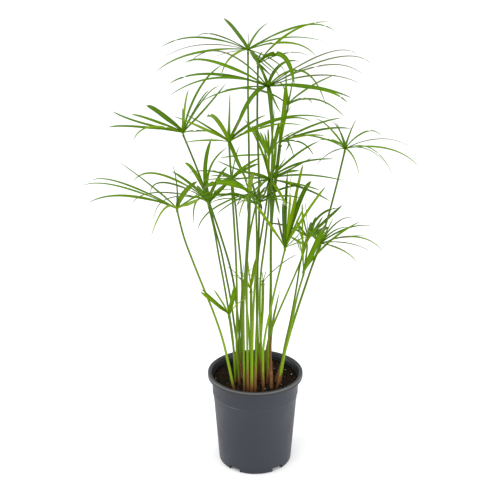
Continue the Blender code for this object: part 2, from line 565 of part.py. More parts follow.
def make_pot(material):
    """Makes the pot: a turned shell with five drain notches, each a pocket with a hole in its roof."""
    points, faces = turned(pot_profile(), POT_SIDES)
    pot = make_object("pot", points, faces, material)
    inner_end = BASE_RADIUS - NOTCH_DEPTH
    pocket_end = inner_end - POT_WALL
    pocket_low = 0.5 * MM
    pocket_top = NOTCH_HEIGHT + POT_WALL
    wall_middle = BASE_RADIUS - 0.9 * MM
    pocket = notch_cutter("pockets",
                          (wall_middle - pocket_end, NOTCH_WIDTH + 2 * POT_WALL, pocket_top - pocket_low),
                          ((wall_middle + pocket_end) / 2, 0.0, (pocket_top + pocket_low) / 2))
    cut_depth = NOTCH_DEPTH + CUT_SPARE
    cut_height = NOTCH_HEIGHT + CUT_SPARE
    notch = notch_cutter("notches", (cut_depth, NOTCH_WIDTH, cut_height),
                         (inner_end + cut_depth / 2, 0.0, NOTCH_HEIGHT - cut_height / 2))
    drain = notch_cutter("drains", (DRAIN_WIDTH, DRAIN_LENGTH, CUT_SPARE),
                         (inner_end + 0.4 * NOTCH_DEPTH, 0.0, NOTCH_HEIGHT + POT_WALL / 2))
    for cutter, operation in ((pocket, "UNION"), (notch, "DIFFERENCE"), (drain, "DIFFERENCE")):
        boolean = pot.modifiers.new(cutter.name, "BOOLEAN")
        boolean.operation = operation
        boolean.object = cutter
        boolean.solver = "EXACT"
    return pot


def make_mix(material):
    """Makes the potting mix: it stands on the pot's floor inside the pockets, and has a low crown."""
    gap = FIT_GAP
    pocket_top = NOTCH_HEIGHT + POT_WALL + gap
    foot_radius = BASE_RADIUS - NOTCH_DEPTH - POT_WALL - 1.2 * MM
    inside = [(wall_radius(z) - POT_WALL - gap, z) for z in (pocket_top, SHOULDER_Z, BAND_LOW_Z, MIX_LEVEL)]
    profile = [(0.0, POT_WALL + gap), (foot_radius, POT_WALL + gap), (foot_radius, pocket_top)] + inside
    profile += [(radius * inside[-1][0], MIX_LEVEL) for radius in (0.78, 0.52, 0.26)] + [(0.0, MIX_LEVEL)]
    points, faces = turned(profile, MIX_SIDES)
    raised = []
    for x, y, z in points:
        on_top = z == MIX_LEVEL and math.hypot(x, y) < 0.9 * inside[-1][0]
        raised.append((x, y, float(mix_height(x, y)) if on_top else z))
    return make_object("potting_mix", raised, faces, material)


def across_frames(line):
    """Returns two directions across a rising line at each of its points."""
    along = np.gradient(line, axis=0)
    along /= np.linalg.norm(along, axis=1)[:, None]
    first = np.cross(along, [0.0, 1.0, 0.0])
    first /= np.linalg.norm(first, axis=1)[:, None]
    return first, np.cross(along, first)


def circles(line, first, second, radii, sides):
    """Returns a ring of points round each point of a line, across the two directions given for it."""
    angles = (np.arange(sides) * math.tau / sides)[None, :, None]
    circle = first[:, None, :] * np.cos(angles) + second[:, None, :] * np.sin(angles)
    return (line[:, None, :] + circle * np.asarray(radii)[:, None, None]).reshape(-1, 3)


def tube(line, radii, sides):
    """Returns points and faces of a closed round tube along a line."""
    points = circles(line, *across_frames(line), radii, sides)
    faces = []
    for ring in range(len(line) - 1):
        for side in range(sides):
            after = (side + 1) % sides
            low, high = ring * sides, (ring + 1) * sides
            faces.append((low + side, low + after, high + after, high + side))
    faces.append(tuple(reversed(range(sides))))
    faces.append(tuple(len(points) - sides + side for side in range(sides)))
    return points, faces


def culm_radii(count):
    """Returns a culm's radius at each of its points, from the foot to the top."""
    share = np.linspace(0.0, 1.0, count)
    return CULM_FOOT_RADIUS + (CULM_TOP_RADIUS - CULM_FOOT_RADIUS) * share


def make_culm(name, stalk, lean, material):
    """Makes a culm: a slender tapering tube from the potting mix to its hub."""
    line = culm_line(stalk, lean, CULM_PIECES + 1)
    points, faces = tube(line, culm_radii(CULM_PIECES + 1), CULM_SIDES)
    return make_object(name, points, faces, material)


def make_sheath(name, stalk, lean, height, material):
    """Makes a dry sheath: a thin sleeve round a culm's foot, a little wider and open at both ends."""
    whole = culm_line(stalk, lean, 200)
    top = int(np.argmax(whole[:, 2] > whole[0, 2] + height))
    places = [0, top // 2, top]
    first, second = across_frames(whole)
    frames = (whole[places], first[places], second[places])
    inner_radius = (CULM_FOOT_RADIUS + SHEATH_GAP) / math.cos(math.pi / SHEATH_SIDES)
    outer = circles(*frames, [inner_radius + SHEATH_WALL] * 3, SHEATH_SIDES)
    inner = circles(*frames, [inner_radius] * 3, SHEATH_SIDES)
    inside, top_ring = 3 * SHEATH_SIDES, 2 * SHEATH_SIDES
    faces = []
    for side in range(SHEATH_SIDES):
        after = (side + 1) % SHEATH_SIDES
        for low in (0, SHEATH_SIDES):
            outer_face = (low + side, low + after, low + SHEATH_SIDES + after, low + SHEATH_SIDES + side)
            faces.append(outer_face)
            faces.append(tuple(inside + corner for corner in reversed(outer_face)))
        faces.append((after, side, inside + side, inside + after))
        low, high = top_ring, inside + top_ring
        faces.append((low + side, low + after, high + after, high + side))
    return make_object(name, np.concatenate([outer, inner]), faces, material)


def make_umbel(name, hub, bracts, material):
    """Makes an umbel: a small hub whose side faces run out into bracts, each inside its own sector."""
    count = len(bracts)
    turns = [turn_of(hub, bract.tip) for bract in bracts]
    gaps = [(turns[(i + 1) % count] - turns[i]) % math.tau for i in range(count)]
    room = [0.44 * min(gaps[i], gaps[i - 1], math.radians(60)) for i in range(count)]
    points = [hub + np.array([0.0, 0.0, 0.5 * HUB_HEIGHT]), hub - np.array([0.0, 0.0, HUB_HEIGHT])]
    faces = []
    rims = []
    for turn, half in zip(turns, room):
        rim = []
        for angle, radius, z in ((turn - half, HUB_RADIUS, 0.0), (turn + half, HUB_RADIUS, 0.0),
                                 (turn, 0.75 * HUB_RADIUS, -0.6 * HUB_HEIGHT)):
            rim.append(len(points))
            points.append(hub + np.array([radius * math.cos(angle), radius * math.sin(angle), z]))
        rims.append(rim)
    for i, rim in enumerate(rims):
        after = rims[(i + 1) % count]
        faces += [(0, rim[0], rim[1]), (0, rim[1], after[0]), (1, after[2], rim[2]),
                  (rim[1], rim[2], after[2]), (rim[1], after[2], after[0])]
        faces += add_bract(points, rim, hub, turns[i], room[i], bracts[i])
    return make_object(name, points, faces, material)


def add_bract(points, rim, hub, turn, half, bract):
    """Adds a bract from a hub's rim to its tip, no wider than its sector, and returns its faces."""
    line = bract_line(hub, bract.tip, bract.bow, 25)
    along = np.gradient(line, axis=0)
    along /= np.linalg.norm(along, axis=1)[:, None]
    side = np.array([-math.sin(turn), math.cos(turn), 0.0])
    faces = []
    before = rim
    for place, width in ((4, 0.85), (13, 1.0)):
        middle = line[place]
        out = np.cross(side, along[place])
        out *= math.copysign(1.0, out[2])
        level = math.hypot(middle[0] - hub[0], middle[1] - hub[1])
        half_width = min(0.5 * bract.width * width, level * math.tan(half))
        ring = []
        for across, up in ((-half_width, 0.3), (half_width, 0.3), (0.0, -0.7)):
            ring.append(len(points))
            points.append(middle + side * across + out * up * BRACT_THICKNESS)
        for a, b in ((0, 1), (1, 2), (2, 0)):
            faces.append((before[a], ring[a], ring[b], before[b]))
        before = ring
    end = len(points)
    points.append(bract.tip)
    for a, b in ((0, 1), (1, 2), (2, 0)):
        faces.append((before[a], end, before[b]))
    return faces


def make_shoot(material):
    """Makes the young shoot: a closed spear that narrows to its tip."""
    foot = on_mix(SHOOT_FOOT)
    foot[2] += FOOT_GAP
    points = [foot]
    for pixel in reversed(SHOOT_ROUTE):
        share = (SHOOT_FOOT[1] - pixel[1]) / (SHOOT_FOOT[1] - SHOOT_TIP[1])
        points.append(at_depth(pixel, foot[1] + (SHOOT_DEPTH * MM - foot[1]) * share))
    points.append(at_depth(SHOOT_TIP, SHOOT_DEPTH * MM))
    line = smooth_line(points, 6)
    radii = SHOOT_RADIUS * np.array([1.0, 1.0, 1.0, 0.95, 0.7, 0.15])
    made, faces = tube(line, radii, CULM_SIDES)
    return make_object("shoot_01", made, faces, material)


def main():
    for old in list(bpy.data.objects):
        bpy.data.objects.remove(old, do_unlink=True)
    slate_plastic = make_material("slate plastic", (0.062, 0.067, 0.082), 0.55)
    peat = make_material("peat", (0.020, 0.013, 0.009), 0.95)
    culm_green = make_material("culm green", (0.10, 0.17, 0.03), 0.5)
    bract_green = make_material("bract green", (0.13, 0.26, 0.02), 0.45)
    dry_sheath = make_material("dry sheath", (0.34, 0.22, 0.13), 0.7)
    make_pot(slate_plastic)
    make_mix(peat)
    leans, taken = place_culms()
    umbels = place_umbels(taken)
    for number, (stalk, lean, (hub, bracts)) in enumerate(zip(STALKS, leans, umbels), start=1):
        make_culm(f"culm_{number:02d}", stalk, lean, culm_green)
        make_umbel(f"umbel_{number:02d}", hub, bracts, bract_green)
    for number, (stalk_number, height) in enumerate(SHEATHS, start=1):
        stalk, lean = STALKS[stalk_number - 1], leans[stalk_number - 1]
        make_sheath(f"sheath_{number:02d}", stalk, lean, height * MM, dry_sheath)
    make_shoot(culm_green)


main()
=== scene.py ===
"""Potted umbrella papyrus: the finished surfaces of its pot, potting mix, culms, sheaths and umbels.

Metres, +Z up, and the front of the plant at -Y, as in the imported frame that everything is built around. Each
culm, umbel, sheath and shoot is placed by reading the corners of its own node in that frame.
"""

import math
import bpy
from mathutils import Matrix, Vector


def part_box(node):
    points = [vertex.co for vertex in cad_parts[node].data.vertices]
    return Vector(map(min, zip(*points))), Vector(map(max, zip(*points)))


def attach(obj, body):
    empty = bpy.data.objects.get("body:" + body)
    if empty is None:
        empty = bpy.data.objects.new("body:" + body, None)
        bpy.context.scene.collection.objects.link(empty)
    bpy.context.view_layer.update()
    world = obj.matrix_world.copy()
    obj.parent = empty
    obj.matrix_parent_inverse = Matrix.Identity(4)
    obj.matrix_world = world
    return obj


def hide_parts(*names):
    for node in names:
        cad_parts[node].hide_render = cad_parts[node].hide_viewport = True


bl_info = {
    "name": "Potted papyrus",
    "version": (1, 0, 0),
    "blender": (4, 5, 0),
    "location": "View3D > Sidebar > Papyrus",
    "description": "Builds the visible surfaces of a potted umbrella papyrus around its packed frame",
    "category": "Add Mesh",
}

import bpy
import numpy as np
from bpy.props import FloatProperty, FloatVectorProperty, IntProperty, PointerProperty

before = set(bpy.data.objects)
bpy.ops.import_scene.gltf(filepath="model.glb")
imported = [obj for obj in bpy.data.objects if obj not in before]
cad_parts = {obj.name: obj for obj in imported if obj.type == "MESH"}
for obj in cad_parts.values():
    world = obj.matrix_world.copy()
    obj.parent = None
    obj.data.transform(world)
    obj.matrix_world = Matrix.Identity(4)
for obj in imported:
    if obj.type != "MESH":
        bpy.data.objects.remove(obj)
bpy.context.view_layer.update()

MM = 0.001
BODY = "root"

# The camera's sensor in millimetres, and the side of the square picture in pixels
SENSOR = 36.0
PICTURE = 500

# The CAD nodes: the corners of a culm's and a sheath's rings, the place of a bract's outer ring as a share
# of its length, the hub's height over its culm, and a usual bract's width as a share of its length
CULM_CORNERS = 5
SHEATH_CORNERS = 12
OUTER_RING = 13 / 24
HUB_OVER_CULM = 3.4 * MM
SLENDERNESS = 0.042

# Pot, in millimetres from the axis and over the ground, and the degrees over which its edges are sharp
LIP_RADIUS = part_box("pot")[1].x / MM
LIP_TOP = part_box("pot")[1].z / MM
LIP_INNER = 76.4
BAND_TOP = 75.0
BAND_LOW = 74.4
BAND_LOW_Z = 130.0
SHOULDER = 72.1
SHOULDER_Z = 116.0
BASE = 63.9
NOTCH_COUNT = 5
NOTCH_FIRST = math.radians(-90 + 37.5)
NOTCH_WIDTH = 21.0
NOTCH_HEIGHT = 7.5
NOTCH_DEPTH = 9.0
POT_CREASE = 35

# Potting mix: its height, its distance in millimetres inside the wall's outer face, and its faces
MIX_LEVEL = 153.5 * MM
MIX_CROWN = 2.5 * MM
MIX_INSET = 2.1
MIX_SIDES = 160
MIX_RINGS = 58

# The marks of the loose bits, and the share of each kind
PEAT, FIBRE, BARK, PERLITE = 0.0, 0.5, 1.0, 2.0
CRUMB_SHARES = (0.60, 0.16, 0.21, 0.03)

# Culms and the shoot: how deep a foot stands in the mix, and the faces round it
BURIED = 5.0 * MM
CULM_COLUMNS = 16

# What each culm's foot looks like: the height in millimetres to which its basal sheath reaches, how dry that
# sheath is, how brown it is, and how fresh a green the lowest part of the culm is
FEET = {
    1: (42, 0.45, 0.1, 0.75), 2: (36, 0.8, 0.15, 0.7), 3: (82, 1.0, 0.55, 0.3), 4: (40, 0.7, 0.4, 0.6),
    5: (46, 0.4, 0.2, 0.6), 6: (44, 0.55, 0.3, 0.45), 7: (92, 0.35, 0.2, 0.85), 8: (45, 0.5, 0.3, 0.5),
    9: (50, 0.75, 0.1, 0.8), 10: (46, 0.6, 0.05, 0.9), 11: (34, 0.85, 0.25, 0.9), 12: (40, 0.8, 0.7, 0.6),
    13: (40, 0.6, 0.4, 0.65), 14: (38, 0.35, 0.0, 0.9), 15: (44, 0.7, 0.1, 0.9), 16: (40, 0.6, 0.3, 0.8),
    17: (30, 0.75, 0.3, 0.9), 18: (34, 0.8, 0.3, 0.9), 19: (26, 0.2, 0.1, 0.55), 20: (34, 0.3, 0.1, 0.85),
    21: (34, 0.3, 0.1, 0.9), 22: (30, 0.4, 0.2, 0.8), 23: (36, 0.6, 0.3, 0.8), 24: (32, 0.4, 0.2, 0.85),
    25: (38, 0.5, 0.2, 0.85), 26: (40, 0.6, 0.4, 0.45),
}

# Culms that are stouter than the others: the share of the usual radius at the foot and at the top
STOUT = {2: (1.1, 1.0), 10: (1.15, 1.0), 12: (1.2, 1.0), 14: (1.4, 1.0), 19: (1.2, 1.2), 20: (1.1, 1.5),
         21: (1.3, 1.6), 22: (1.3, 1.2), 25: (1.0, 1.75)}

# Sheaths: the culm that each node wraps, the rings and columns of its wall, and the wall's thickness
SHEATHED = {"sheath_01": 3, "sheath_02": 4, "sheath_03": 6, "sheath_04": 10, "sheath_05": 11}
SHEATH_ROWS = 16
SHEATH_COLUMNS = 26
SHEATH_WALL = 0.32 * MM

# How bright a green an umbel's bracts are, from -1, deep green, past 0 to 1, a bright yellow-green, and how
# far the tones of its bracts spread
USUAL_TONE = -0.04
UMBEL_TONES = {7: -0.1, 9: 0.05, 10: -0.05, 12: 0.1, 13: -0.1, 14: -0.3, 15: 0.2, 16: -0.3, 18: 0.25,
               19: 0.05, 20: 0.3, 21: 0.3, 22: 0.1, 24: -0.2}
TONE_SPREAD = 0.26

# Bracts that stand out, by umbel: the pixel of the tip in the picture, the tone, and how grey and dry it is
STANDING_OUT = {
    1: [(220.5, 79.5, 0.5, 0.0), (163, 58, -0.3, 0.8), (211, 57.5, -0.2, 0.9), (249, 30, -0.2, 0.9),
        (196, 38.5, -0.4, 0.4), (286, 73, -0.4, 0.2)],
    2: [(309, 56, -0.3, 0.5)],
    3: [(235.5, 131, -0.35, 0.0), (187, 65, -0.3, 0.5), (358, 54, -0.5, 0.6), (372, 64, -0.5, 0.55),
        (364, 75, -0.5, 0.55), (362, 84, -0.5, 0.45)],
    5: [(207, 116.5, 0.3, 0.0)],
    7: [(150.5, 238, 0.6, 0.0), (200, 198, 0.5, 0.0)],
    8: [(193.5, 225, 0.1, 0.2), (154, 222, -0.3, 0.7), (131, 204.5, -0.3, 0.6)],
    9: [(204, 188, 0.1, 0.0), (254.5, 171, 0.8, 0.0), (238.8, 219, 0.5, 0.3)],
    10: [(243.5, 117.5, 0.15, 0.0), (287.5, 208, 0.4, 0.0), (286, 156.5, 0.5, 0.2)],
    11: [(413, 148.5, -0.3, 0.8), (314.5, 166.5, -0.5, 0.4)],
    15: [(303, 163.5, 0.7, 0.0), (291.7, 165.5, 0.6, 0.0), (326, 185.7, 0.35, 0.0), (283, 200, -0.9, 0.0),
         (291, 192, 0.4, 0.0), (287.5, 171.5, -0.7, 0.0), (311.5, 180.5, -0.5, 0.0),
         (277.5, 215.5, -0.6, 0.5)],
    17: [(376, 254.2, -0.3, 0.5), (368, 235.5, -0.2, 0.6), (354, 217.7, -0.3, 0.5)],
    18: [(324.5, 224, -0.15, 0.0), (361.3, 220.3, 0.1, 0.0)],
    21: [(299, 252.8, -0.2, 0.7)],
    22: [(225, 265.5, -0.2, 0.5)],
    25: [(286.3, 80, 0.2, 0.0)],
}

# Umbels that have not opened out yet, whose bracts are broad from the hub on
YOUNG = (12, 14, 15, 16, 18, 19, 20, 21, 22, 23)

# Umbels whose usual bracts are slim, as a share of the usual width
SLIM = {1: 0.75, 2: 0.85, 3: 0.8, 5: 0.9, 7: 0.7, 11: 0.8, 17: 0.9}

# How much of its width a bract loses from its middle on, before its tip rounds off. A bract is broad where
# its width is more than this share of its length
NARROWING_YOUNG = 0.1
NARROWING_BROAD = 0.15
NARROWING_USUAL = 0.3
NARROWING_SLIM = 0.5
BROAD = 0.0485

# Across a bract's section: the places from edge to edge along the upper face, then back along the lower one,
# and how far each lies under the upper face, as a share of the blade's thickness
SECTION = np.array([1.0, 0.55, 0.0, -0.55, -1.0, -0.55, 0.0, 0.55])
LOWER = np.array([0.0, 0.0, 0.0, 0.0, 0.0, 0.75, 1.3, 0.75])
BRACT_CREASE = 62

# The knob that the bracts grow from, in millimetres from its axis and over the hub, and where they begin
KNOB = ((1.0, -3.0), (1.75, -2.6), (2.1, -1.2), (2.5, 0.0), (2.3, 1.4), (1.6, 2.4), (0.8, 2.9))
KNOB_SIDES = 14
BRACT_START = 1.6 * MM


def colour_property(name, description, default):
    """Returns a property that holds a colour."""
    return FloatVectorProperty(name=name, description=description, default=default, subtype="COLOR",
                               min=0.0, max=1.0)


class PotSettings(bpy.types.PropertyGroup):
    """Sizes and colours of the nursery pot."""
    wall: FloatProperty(name="Wall", description="Thickness of the moulded wall", default=1.6 * MM,
                        min=0.0005, unit="LENGTH")
    sides: IntProperty(name="Sides", description="Faces round the pot", default=144, min=24)
    colour: colour_property("Colour", "Dark slate plastic", (0.0175, 0.021, 0.032))
    worn: colour_property("Worn colour", "Dusty and scuffed plastic", (0.065, 0.064, 0.064))
    # Painted highlight: this colour paints the pale tops of the lip's beads and the pale line of the ledge
    edge: colour_property("Edge", "Rubbed plastic on the lip and the ledge", (0.13, 0.125, 0.12))
    # Painted shade: this colour darkens the wall inside near the mix, and the lip
    painted_shade: colour_property("Stain", "Wet peat on the wall inside", (0.004, 0.004, 0.004))


class MixSettings(bpy.types.PropertyGroup):
    """Shape and colours of the potting mix."""
    lump: FloatProperty(name="Lump height", description="How far the mix's surface rises and falls",
                        default=1.6 * MM, min=0.0, unit="LENGTH")
    crumbs: IntProperty(name="Crumbs", description="Number of loose bits on the surface", default=1100, min=0)
    peat: colour_property("Peat", "Moist dark peat", (0.008, 0.005, 0.003))
    bark: colour_property("Bark", "Bits of tan bark", (0.17, 0.075, 0.022))
    perlite: colour_property("Perlite", "White grains", (0.62, 0.58, 0.52))


class CulmSettings(bpy.types.PropertyGroup):
    """Sizes and colours of the culms, their dry sheaths and the shoot."""
    top_radius: FloatProperty(name="Top radius", description="Radius of a culm under its umbel",
                              default=1.5 * MM, min=0.0003, unit="LENGTH")
    foot_radius: FloatProperty(name="Foot radius", description="Radius of a culm at the potting mix",
                               default=2.05 * MM, min=0.0003, unit="LENGTH")
    dark: colour_property("Dark green", "Shaded green of the upper culm", (0.045, 0.095, 0.012))
    fresh: colour_property("Fresh green", "Yellow-green of the lower culm", (0.17, 0.28, 0.012))
    dry: colour_property("Dry tan", "Tan of a dry foot or sheath", (0.24, 0.12, 0.04))
    brown: colour_property("Dry brown", "Reddish brown of an old sheath", (0.085, 0.030, 0.012))


class UmbelSettings(bpy.types.PropertyGroup):
    """Sizes and colours of the umbels."""
    width: FloatProperty(name="Bract width", description="Width of the bracts against their CAD nodes",
                         default=1.0, min=0.1)
    shown: FloatProperty(name="Shown share", description="How much of its width a usual bract shows in front",
                         default=0.64, min=0.0, max=0.7, subtype="FACTOR")
    thickness: FloatProperty(name="Blade thickness", description="Thickness of a bract's blade",
                             default=0.32 * MM, min=0.0001, unit="LENGTH")
    rows: IntProperty(name="Rows", description="Faces along a bract", default=20, min=6)
    green: colour_property("Green", "Usual green of a bract", (0.082, 0.185, 0.002))
    deep: colour_property("Deep green", "Darker green of older bracts", (0.033, 0.088, 0.003))
    bright: colour_property("Bright green", "Yellow-green of young bracts", (0.25, 0.37, 0.004))
    tip: colour_property("Tip", "Dry grey-brown of the tips", (0.16, 0.15, 0.10))


class StudioSettings(bpy.types.PropertyGroup):
    """Camera, lights and floor."""
    floor: colour_property("Floor", "Colour of the plain floor", (0.97, 0.97, 0.97))
    world: FloatProperty(name="World strength", description="Strength of the white surroundings",
                         default=1.2, min=0.0)
    key: FloatProperty(name="Key light", description="Power of the soft main light", default=16.0,
                       min=0.0, unit="POWER")
    side: FloatProperty(name="Side light", description="Power of the low light at the right", default=19.0,
                        min=0.0, unit="POWER")
    eye: FloatVectorProperty(name="Camera place", description="Where the camera stands",
                             subtype="TRANSLATION", default=(-0.0091, -1.300, 0.838), unit="LENGTH")
    pitch: FloatProperty(name="Camera pitch", description="How far the camera looks down",
                         default=math.radians(19.06), subtype="ANGLE", unit="ROTATION")
    lens: FloatProperty(name="Lens", description="Focal length in millimetres", default=60.0, min=1.0)


# Reading the frame

def merged(node):
    """Returns a CAD node's points, merged to a thousandth of a millimetre, and its triangles."""
    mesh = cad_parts[node].data
    points = np.empty(len(mesh.vertices) * 3, np.float32)
    mesh.vertices.foreach_get("co", points)
    corners = np.empty(len(mesh.loops), np.int32)
    mesh.loops.foreach_get("vertex_index", corners)
    unique, place = np.unique(np.round(points.reshape(-1, 3).astype(float), 6), axis=0, return_inverse=True)
    return unique, place.reshape(-1)[corners].reshape(-1, 3)


def ring_centres(node, corners):
    """Returns the middles of a tube node's rings, whose points are alike in height, from low to high."""
    points, _ = merged(node)
    if len(points) % corners:
        raise RuntimeError(f"{node} has {len(points)} points, which are no rings of {corners}")
    ordered = points[np.argsort(points[:, 2])]
    return ordered.reshape(-1, corners, 3).mean(axis=1)


def read_umbel(number):
    """Returns an umbel's hub, and its bracts' tips, widths and bows.

    The hub lies a little over its culm's top, a tip is a point with three triangles, and the points next to
    it are the bract's outer ring. A bract is a parabola that stands off its chord by 4 s (1 - s) times its
    bow, where s is the share of the way, so that ring gives the bow."""
    points, triangles = merged(f"umbel_{number:02d}")
    hub = ring_centres(f"culm_{number:02d}", CULM_CORNERS)[-1] + [0.0, 0.0, HUB_OVER_CULM]
    uses = np.bincount(triangles.ravel(), minlength=len(points))
    tips, widths, bows = [], [], []
    for tip in np.flatnonzero(uses == 3):
        ring = points[np.setdiff1d(triangles[(triangles == tip).any(axis=1)], [tip])]
        off = ring.mean(axis=0) - hub - OUTER_RING * (points[tip] - hub)
        tips.append(points[tip])
        widths.append(np.linalg.norm(ring[:, None] - ring[None, :], axis=-1).max())
        bows.append(off / (4 * OUTER_RING * (1 - OUTER_RING)))
    if not tips:
        raise RuntimeError(f"umbel_{number:02d} has no bract tips")
    return hub, np.array(tips), np.array(widths), np.array(bows)


# Shapes

class Shape:
    """Points, faces, their UVs and marks, gathered from several surfaces to be made into one mesh."""

    def __init__(self):
        self.points = []
        self.faces = []
        self.uvs = []
        self.marks = {}
        self.count = 0

    def add(self, points, faces, uvs=None, **marks):
        """Adds a surface: its points, a list of arrays of faces, their corners' UVs, and marks per point."""
        points = np.asarray(points, float).reshape(-1, 3)
        for number, group in enumerate(faces):
            self.faces.append(group + self.count)
            self.uvs.append(np.zeros((*group.shape, 2)) if uvs is None else uvs[number])
        for name, values in marks.items():
            self.marks.setdefault(name, []).append((self.count, np.broadcast_to(values, len(points))))
        self.points.append(points)
        self.count += len(points)

    def make(self, name, material, crease=50):
        """Makes the mesh object, with a UV map and one attribute for each mark. It is smooth but for edges
        that bend by more than the crease, in degrees."""
        old = bpy.data.objects.get(name)
        if old is not None:
            bpy.data.objects.remove(old, do_unlink=True)
        points = np.concatenate(self.points)
        corners = np.concatenate([group.ravel() for group in self.faces])
        sizes = np.concatenate([np.full(len(group), group.shape[1]) for group in self.faces])
        places = np.concatenate([uv.reshape(-1, 2) for uv in self.uvs])
        mesh = bpy.data.meshes.new(name)
        mesh.vertices.add(len(points))
        mesh.vertices.foreach_set("co", points.astype(np.float32).ravel())
        mesh.loops.add(len(corners))
        mesh.loops.foreach_set("vertex_index", corners.astype(np.int32))
        mesh.polygons.add(len(sizes))
        mesh.polygons.foreach_set("loop_start", (np.cumsum(sizes) - sizes).astype(np.int32))
        mesh.update(calc_edges=True)
        mesh.uv_layers.new(name="surface").data.foreach_set("uv", places.astype(np.float32).ravel())
        for mark, parts in self.marks.items():
            values = np.zeros(len(points), np.float32)
            for start, part in parts:
                values[start:start + len(part)] = part
            mesh.attributes.new(mark, "FLOAT", "POINT").data.foreach_set("value", values)
        if mesh.validate():
            raise RuntimeError(f"{name} has faces that are no faces")
        mesh.materials.append(material)
        mesh.shade_smooth()
        mesh.set_sharp_from_angle(angle=math.radians(crease))
        piece = bpy.data.objects.new(name, mesh)
        bpy.context.scene.collection.objects.link(piece)
        return piece


def unit(vectors):
    """Returns vectors divided by their own lengths."""
    return vectors / np.linalg.norm(vectors, axis=-1)[..., None]


def chords(points):
    """Returns the distance from each point of a line to the next."""
    return np.linalg.norm(np.diff(points, axis=0), axis=1)


def ring_angles(sides):
    """Returns the angles of a ring's corners, evenly round it."""
    return np.arange(sides) * math.tau / sides


def rotated(first, second, angle):
    """Returns two coordinates turned by an angle, from the first one's axis towards the second's."""
    cos, sin = np.cos(angle), np.sin(angle)
    return first * cos - second * sin, first * sin + second * cos


def smoothstep(low, high, value):
    """Returns 0 below low, 1 above high, and between them the cubic that leaves both ends level."""
    t = np.clip((value - low) / (high - low), 0.0, 1.0)
    return t * t * (3 - 2 * t)


def value_noise(x, y, size, seed):
    """Returns smooth noise from -1 to 1: random heights on a square lattice, eased between its corners."""
    cells = 64
    lattice = np.random.default_rng(seed).uniform(-1.0, 1.0, (cells, cells))
    x, y = x / size, y / size
    column, row = np.floor(x).astype(int), np.floor(y).astype(int)
    s, t = smoothstep(0.0, 1.0, x - column), smoothstep(0.0, 1.0, y - row)
    column, row = column % cells, row % cells
    right, above = (column + 1) % cells, (row + 1) % cells
    near = lattice[row, column] * (1 - s) + lattice[row, right] * s
    far = lattice[above, column] * (1 - s) + lattice[above, right] * s
    return near * (1 - t) + far * t


def grid(rows, columns):
    """Returns the quads of a grid whose columns close into a ring, and the place of each corner in it."""
    row, column = np.meshgrid(np.arange(rows - 1), np.arange(columns), indexing="ij")
    row = np.stack([row, row, row + 1, row + 1], axis=-1).reshape(-1, 4)
    column = np.stack([column, column + 1, column + 1, column], axis=-1).reshape(-1, 4)
    return row * columns + column % columns, np.stack([column / columns, row / (rows - 1)], axis=-1)


def poles(rows, columns):
    """Returns the triangles from a pole before the first ring and from one after the last, and their UVs."""
    column = np.arange(columns)
    after = (column + 1) % columns
    top = (rows - 1) * columns
    start = np.stack([np.full(columns, rows * columns), after, column], axis=-1)
    end = np.stack([top + column, top + after, np.full(columns, rows * columns + 1)], axis=-1)
    share = column / columns
    wide = np.stack([share + 0.5 / columns, share + 1 / columns, share], axis=-1)
    start_uv = np.stack([wide, np.zeros(wide.shape)], axis=-1)
    end_uv = np.stack([wide[:, [2, 1, 0]], np.ones(wide.shape)], axis=-1)
    return np.concatenate([start, end]), np.concatenate([start_uv, end_uv])


def capped(rings):
    """Returns points, faces and UVs of a closed tube of rings, an array rows by columns by 3.

    Its ends are closed with a pole at the middle of the first ring and of the last."""
    rows, columns = rings.shape[:2]
    points = np.concatenate([rings.reshape(-1, 3), rings[:1].mean(axis=1), rings[-1:].mean(axis=1)])
    quads, quad_uv = grid(rows, columns)
    triangles, triangle_uv = poles(rows, columns)
    return points, [quads, triangles], [quad_uv, triangle_uv]


def with_poles(values):
    """Returns a capped tube's marks: its rings' values, then for its poles those of its end rings."""
    return np.concatenate([values.ravel(), values[[0, -1], 0]])


def smooth_line(knots, places):
    """Returns points on the cubic curve through knots, at places given as shares of the chords' length.

    Each span is a Hermite cubic whose slopes are the central differences of its knots."""
    reach = np.concatenate([[0.0], np.cumsum(chords(knots))])
    slopes = np.gradient(knots, reach, axis=0)
    places = np.asarray(places) * reach[-1]
    span = np.clip(np.searchsorted(reach, places, side="right") - 1, 0, len(reach) - 2)
    width = (reach[span + 1] - reach[span])[:, None]
    t = (places - reach[span])[:, None] / width
    return ((2 * t ** 3 - 3 * t ** 2 + 1) * knots[span] + (t ** 3 - 2 * t ** 2 + t) * width * slopes[span]
            + (3 * t ** 2 - 2 * t ** 3) * knots[span + 1] + (t ** 3 - t ** 2) * width * slopes[span + 1])


def across(line):
    """Returns two unit directions across a rising line at each of its points."""
    along = unit(np.gradient(line, axis=0))
    first = unit(np.cross(along, [0.0, 1.0, 0.0]))
    return first, np.cross(along, first)


def tube_rings(line, radii, angles):
    """Returns rings round a line: its point plus the radius times the direction at each angle across it."""
    first, second = across(line)
    direction = (first[:, None] * np.cos(angles)[None, :, None]
                 + second[:, None] * np.sin(angles)[None, :, None])
    return line[:, None] + direction * radii[..., None]


def turned(profile, sides):
    """Returns rings, from a profile's first point to its last: its radii turned round Z at its heights. The
    profile is in millimetres."""
    profile = np.asarray(profile) * MM
    angles = ring_angles(sides)
    radius, height = profile[:, :1], profile[:, 1:]
    return np.stack([radius * np.cos(angles), radius * np.sin(angles),
                     np.broadcast_to(height, (len(profile), sides))], axis=-1)


def arc(centre, radius, first, last, steps):
    """Returns points of radius and height on an arc round a centre, between two angles in degrees."""
    angles = np.radians(np.linspace(first, last, steps))
    return [(centre[0] + radius * math.cos(a), centre[1] + radius * math.sin(a)) for a in angles]


# Materials

def new_material(name):
    """Returns an empty material and its node tree."""
    material = bpy.data.materials.new(name)
    material.use_nodes = True
    return material, material.node_tree


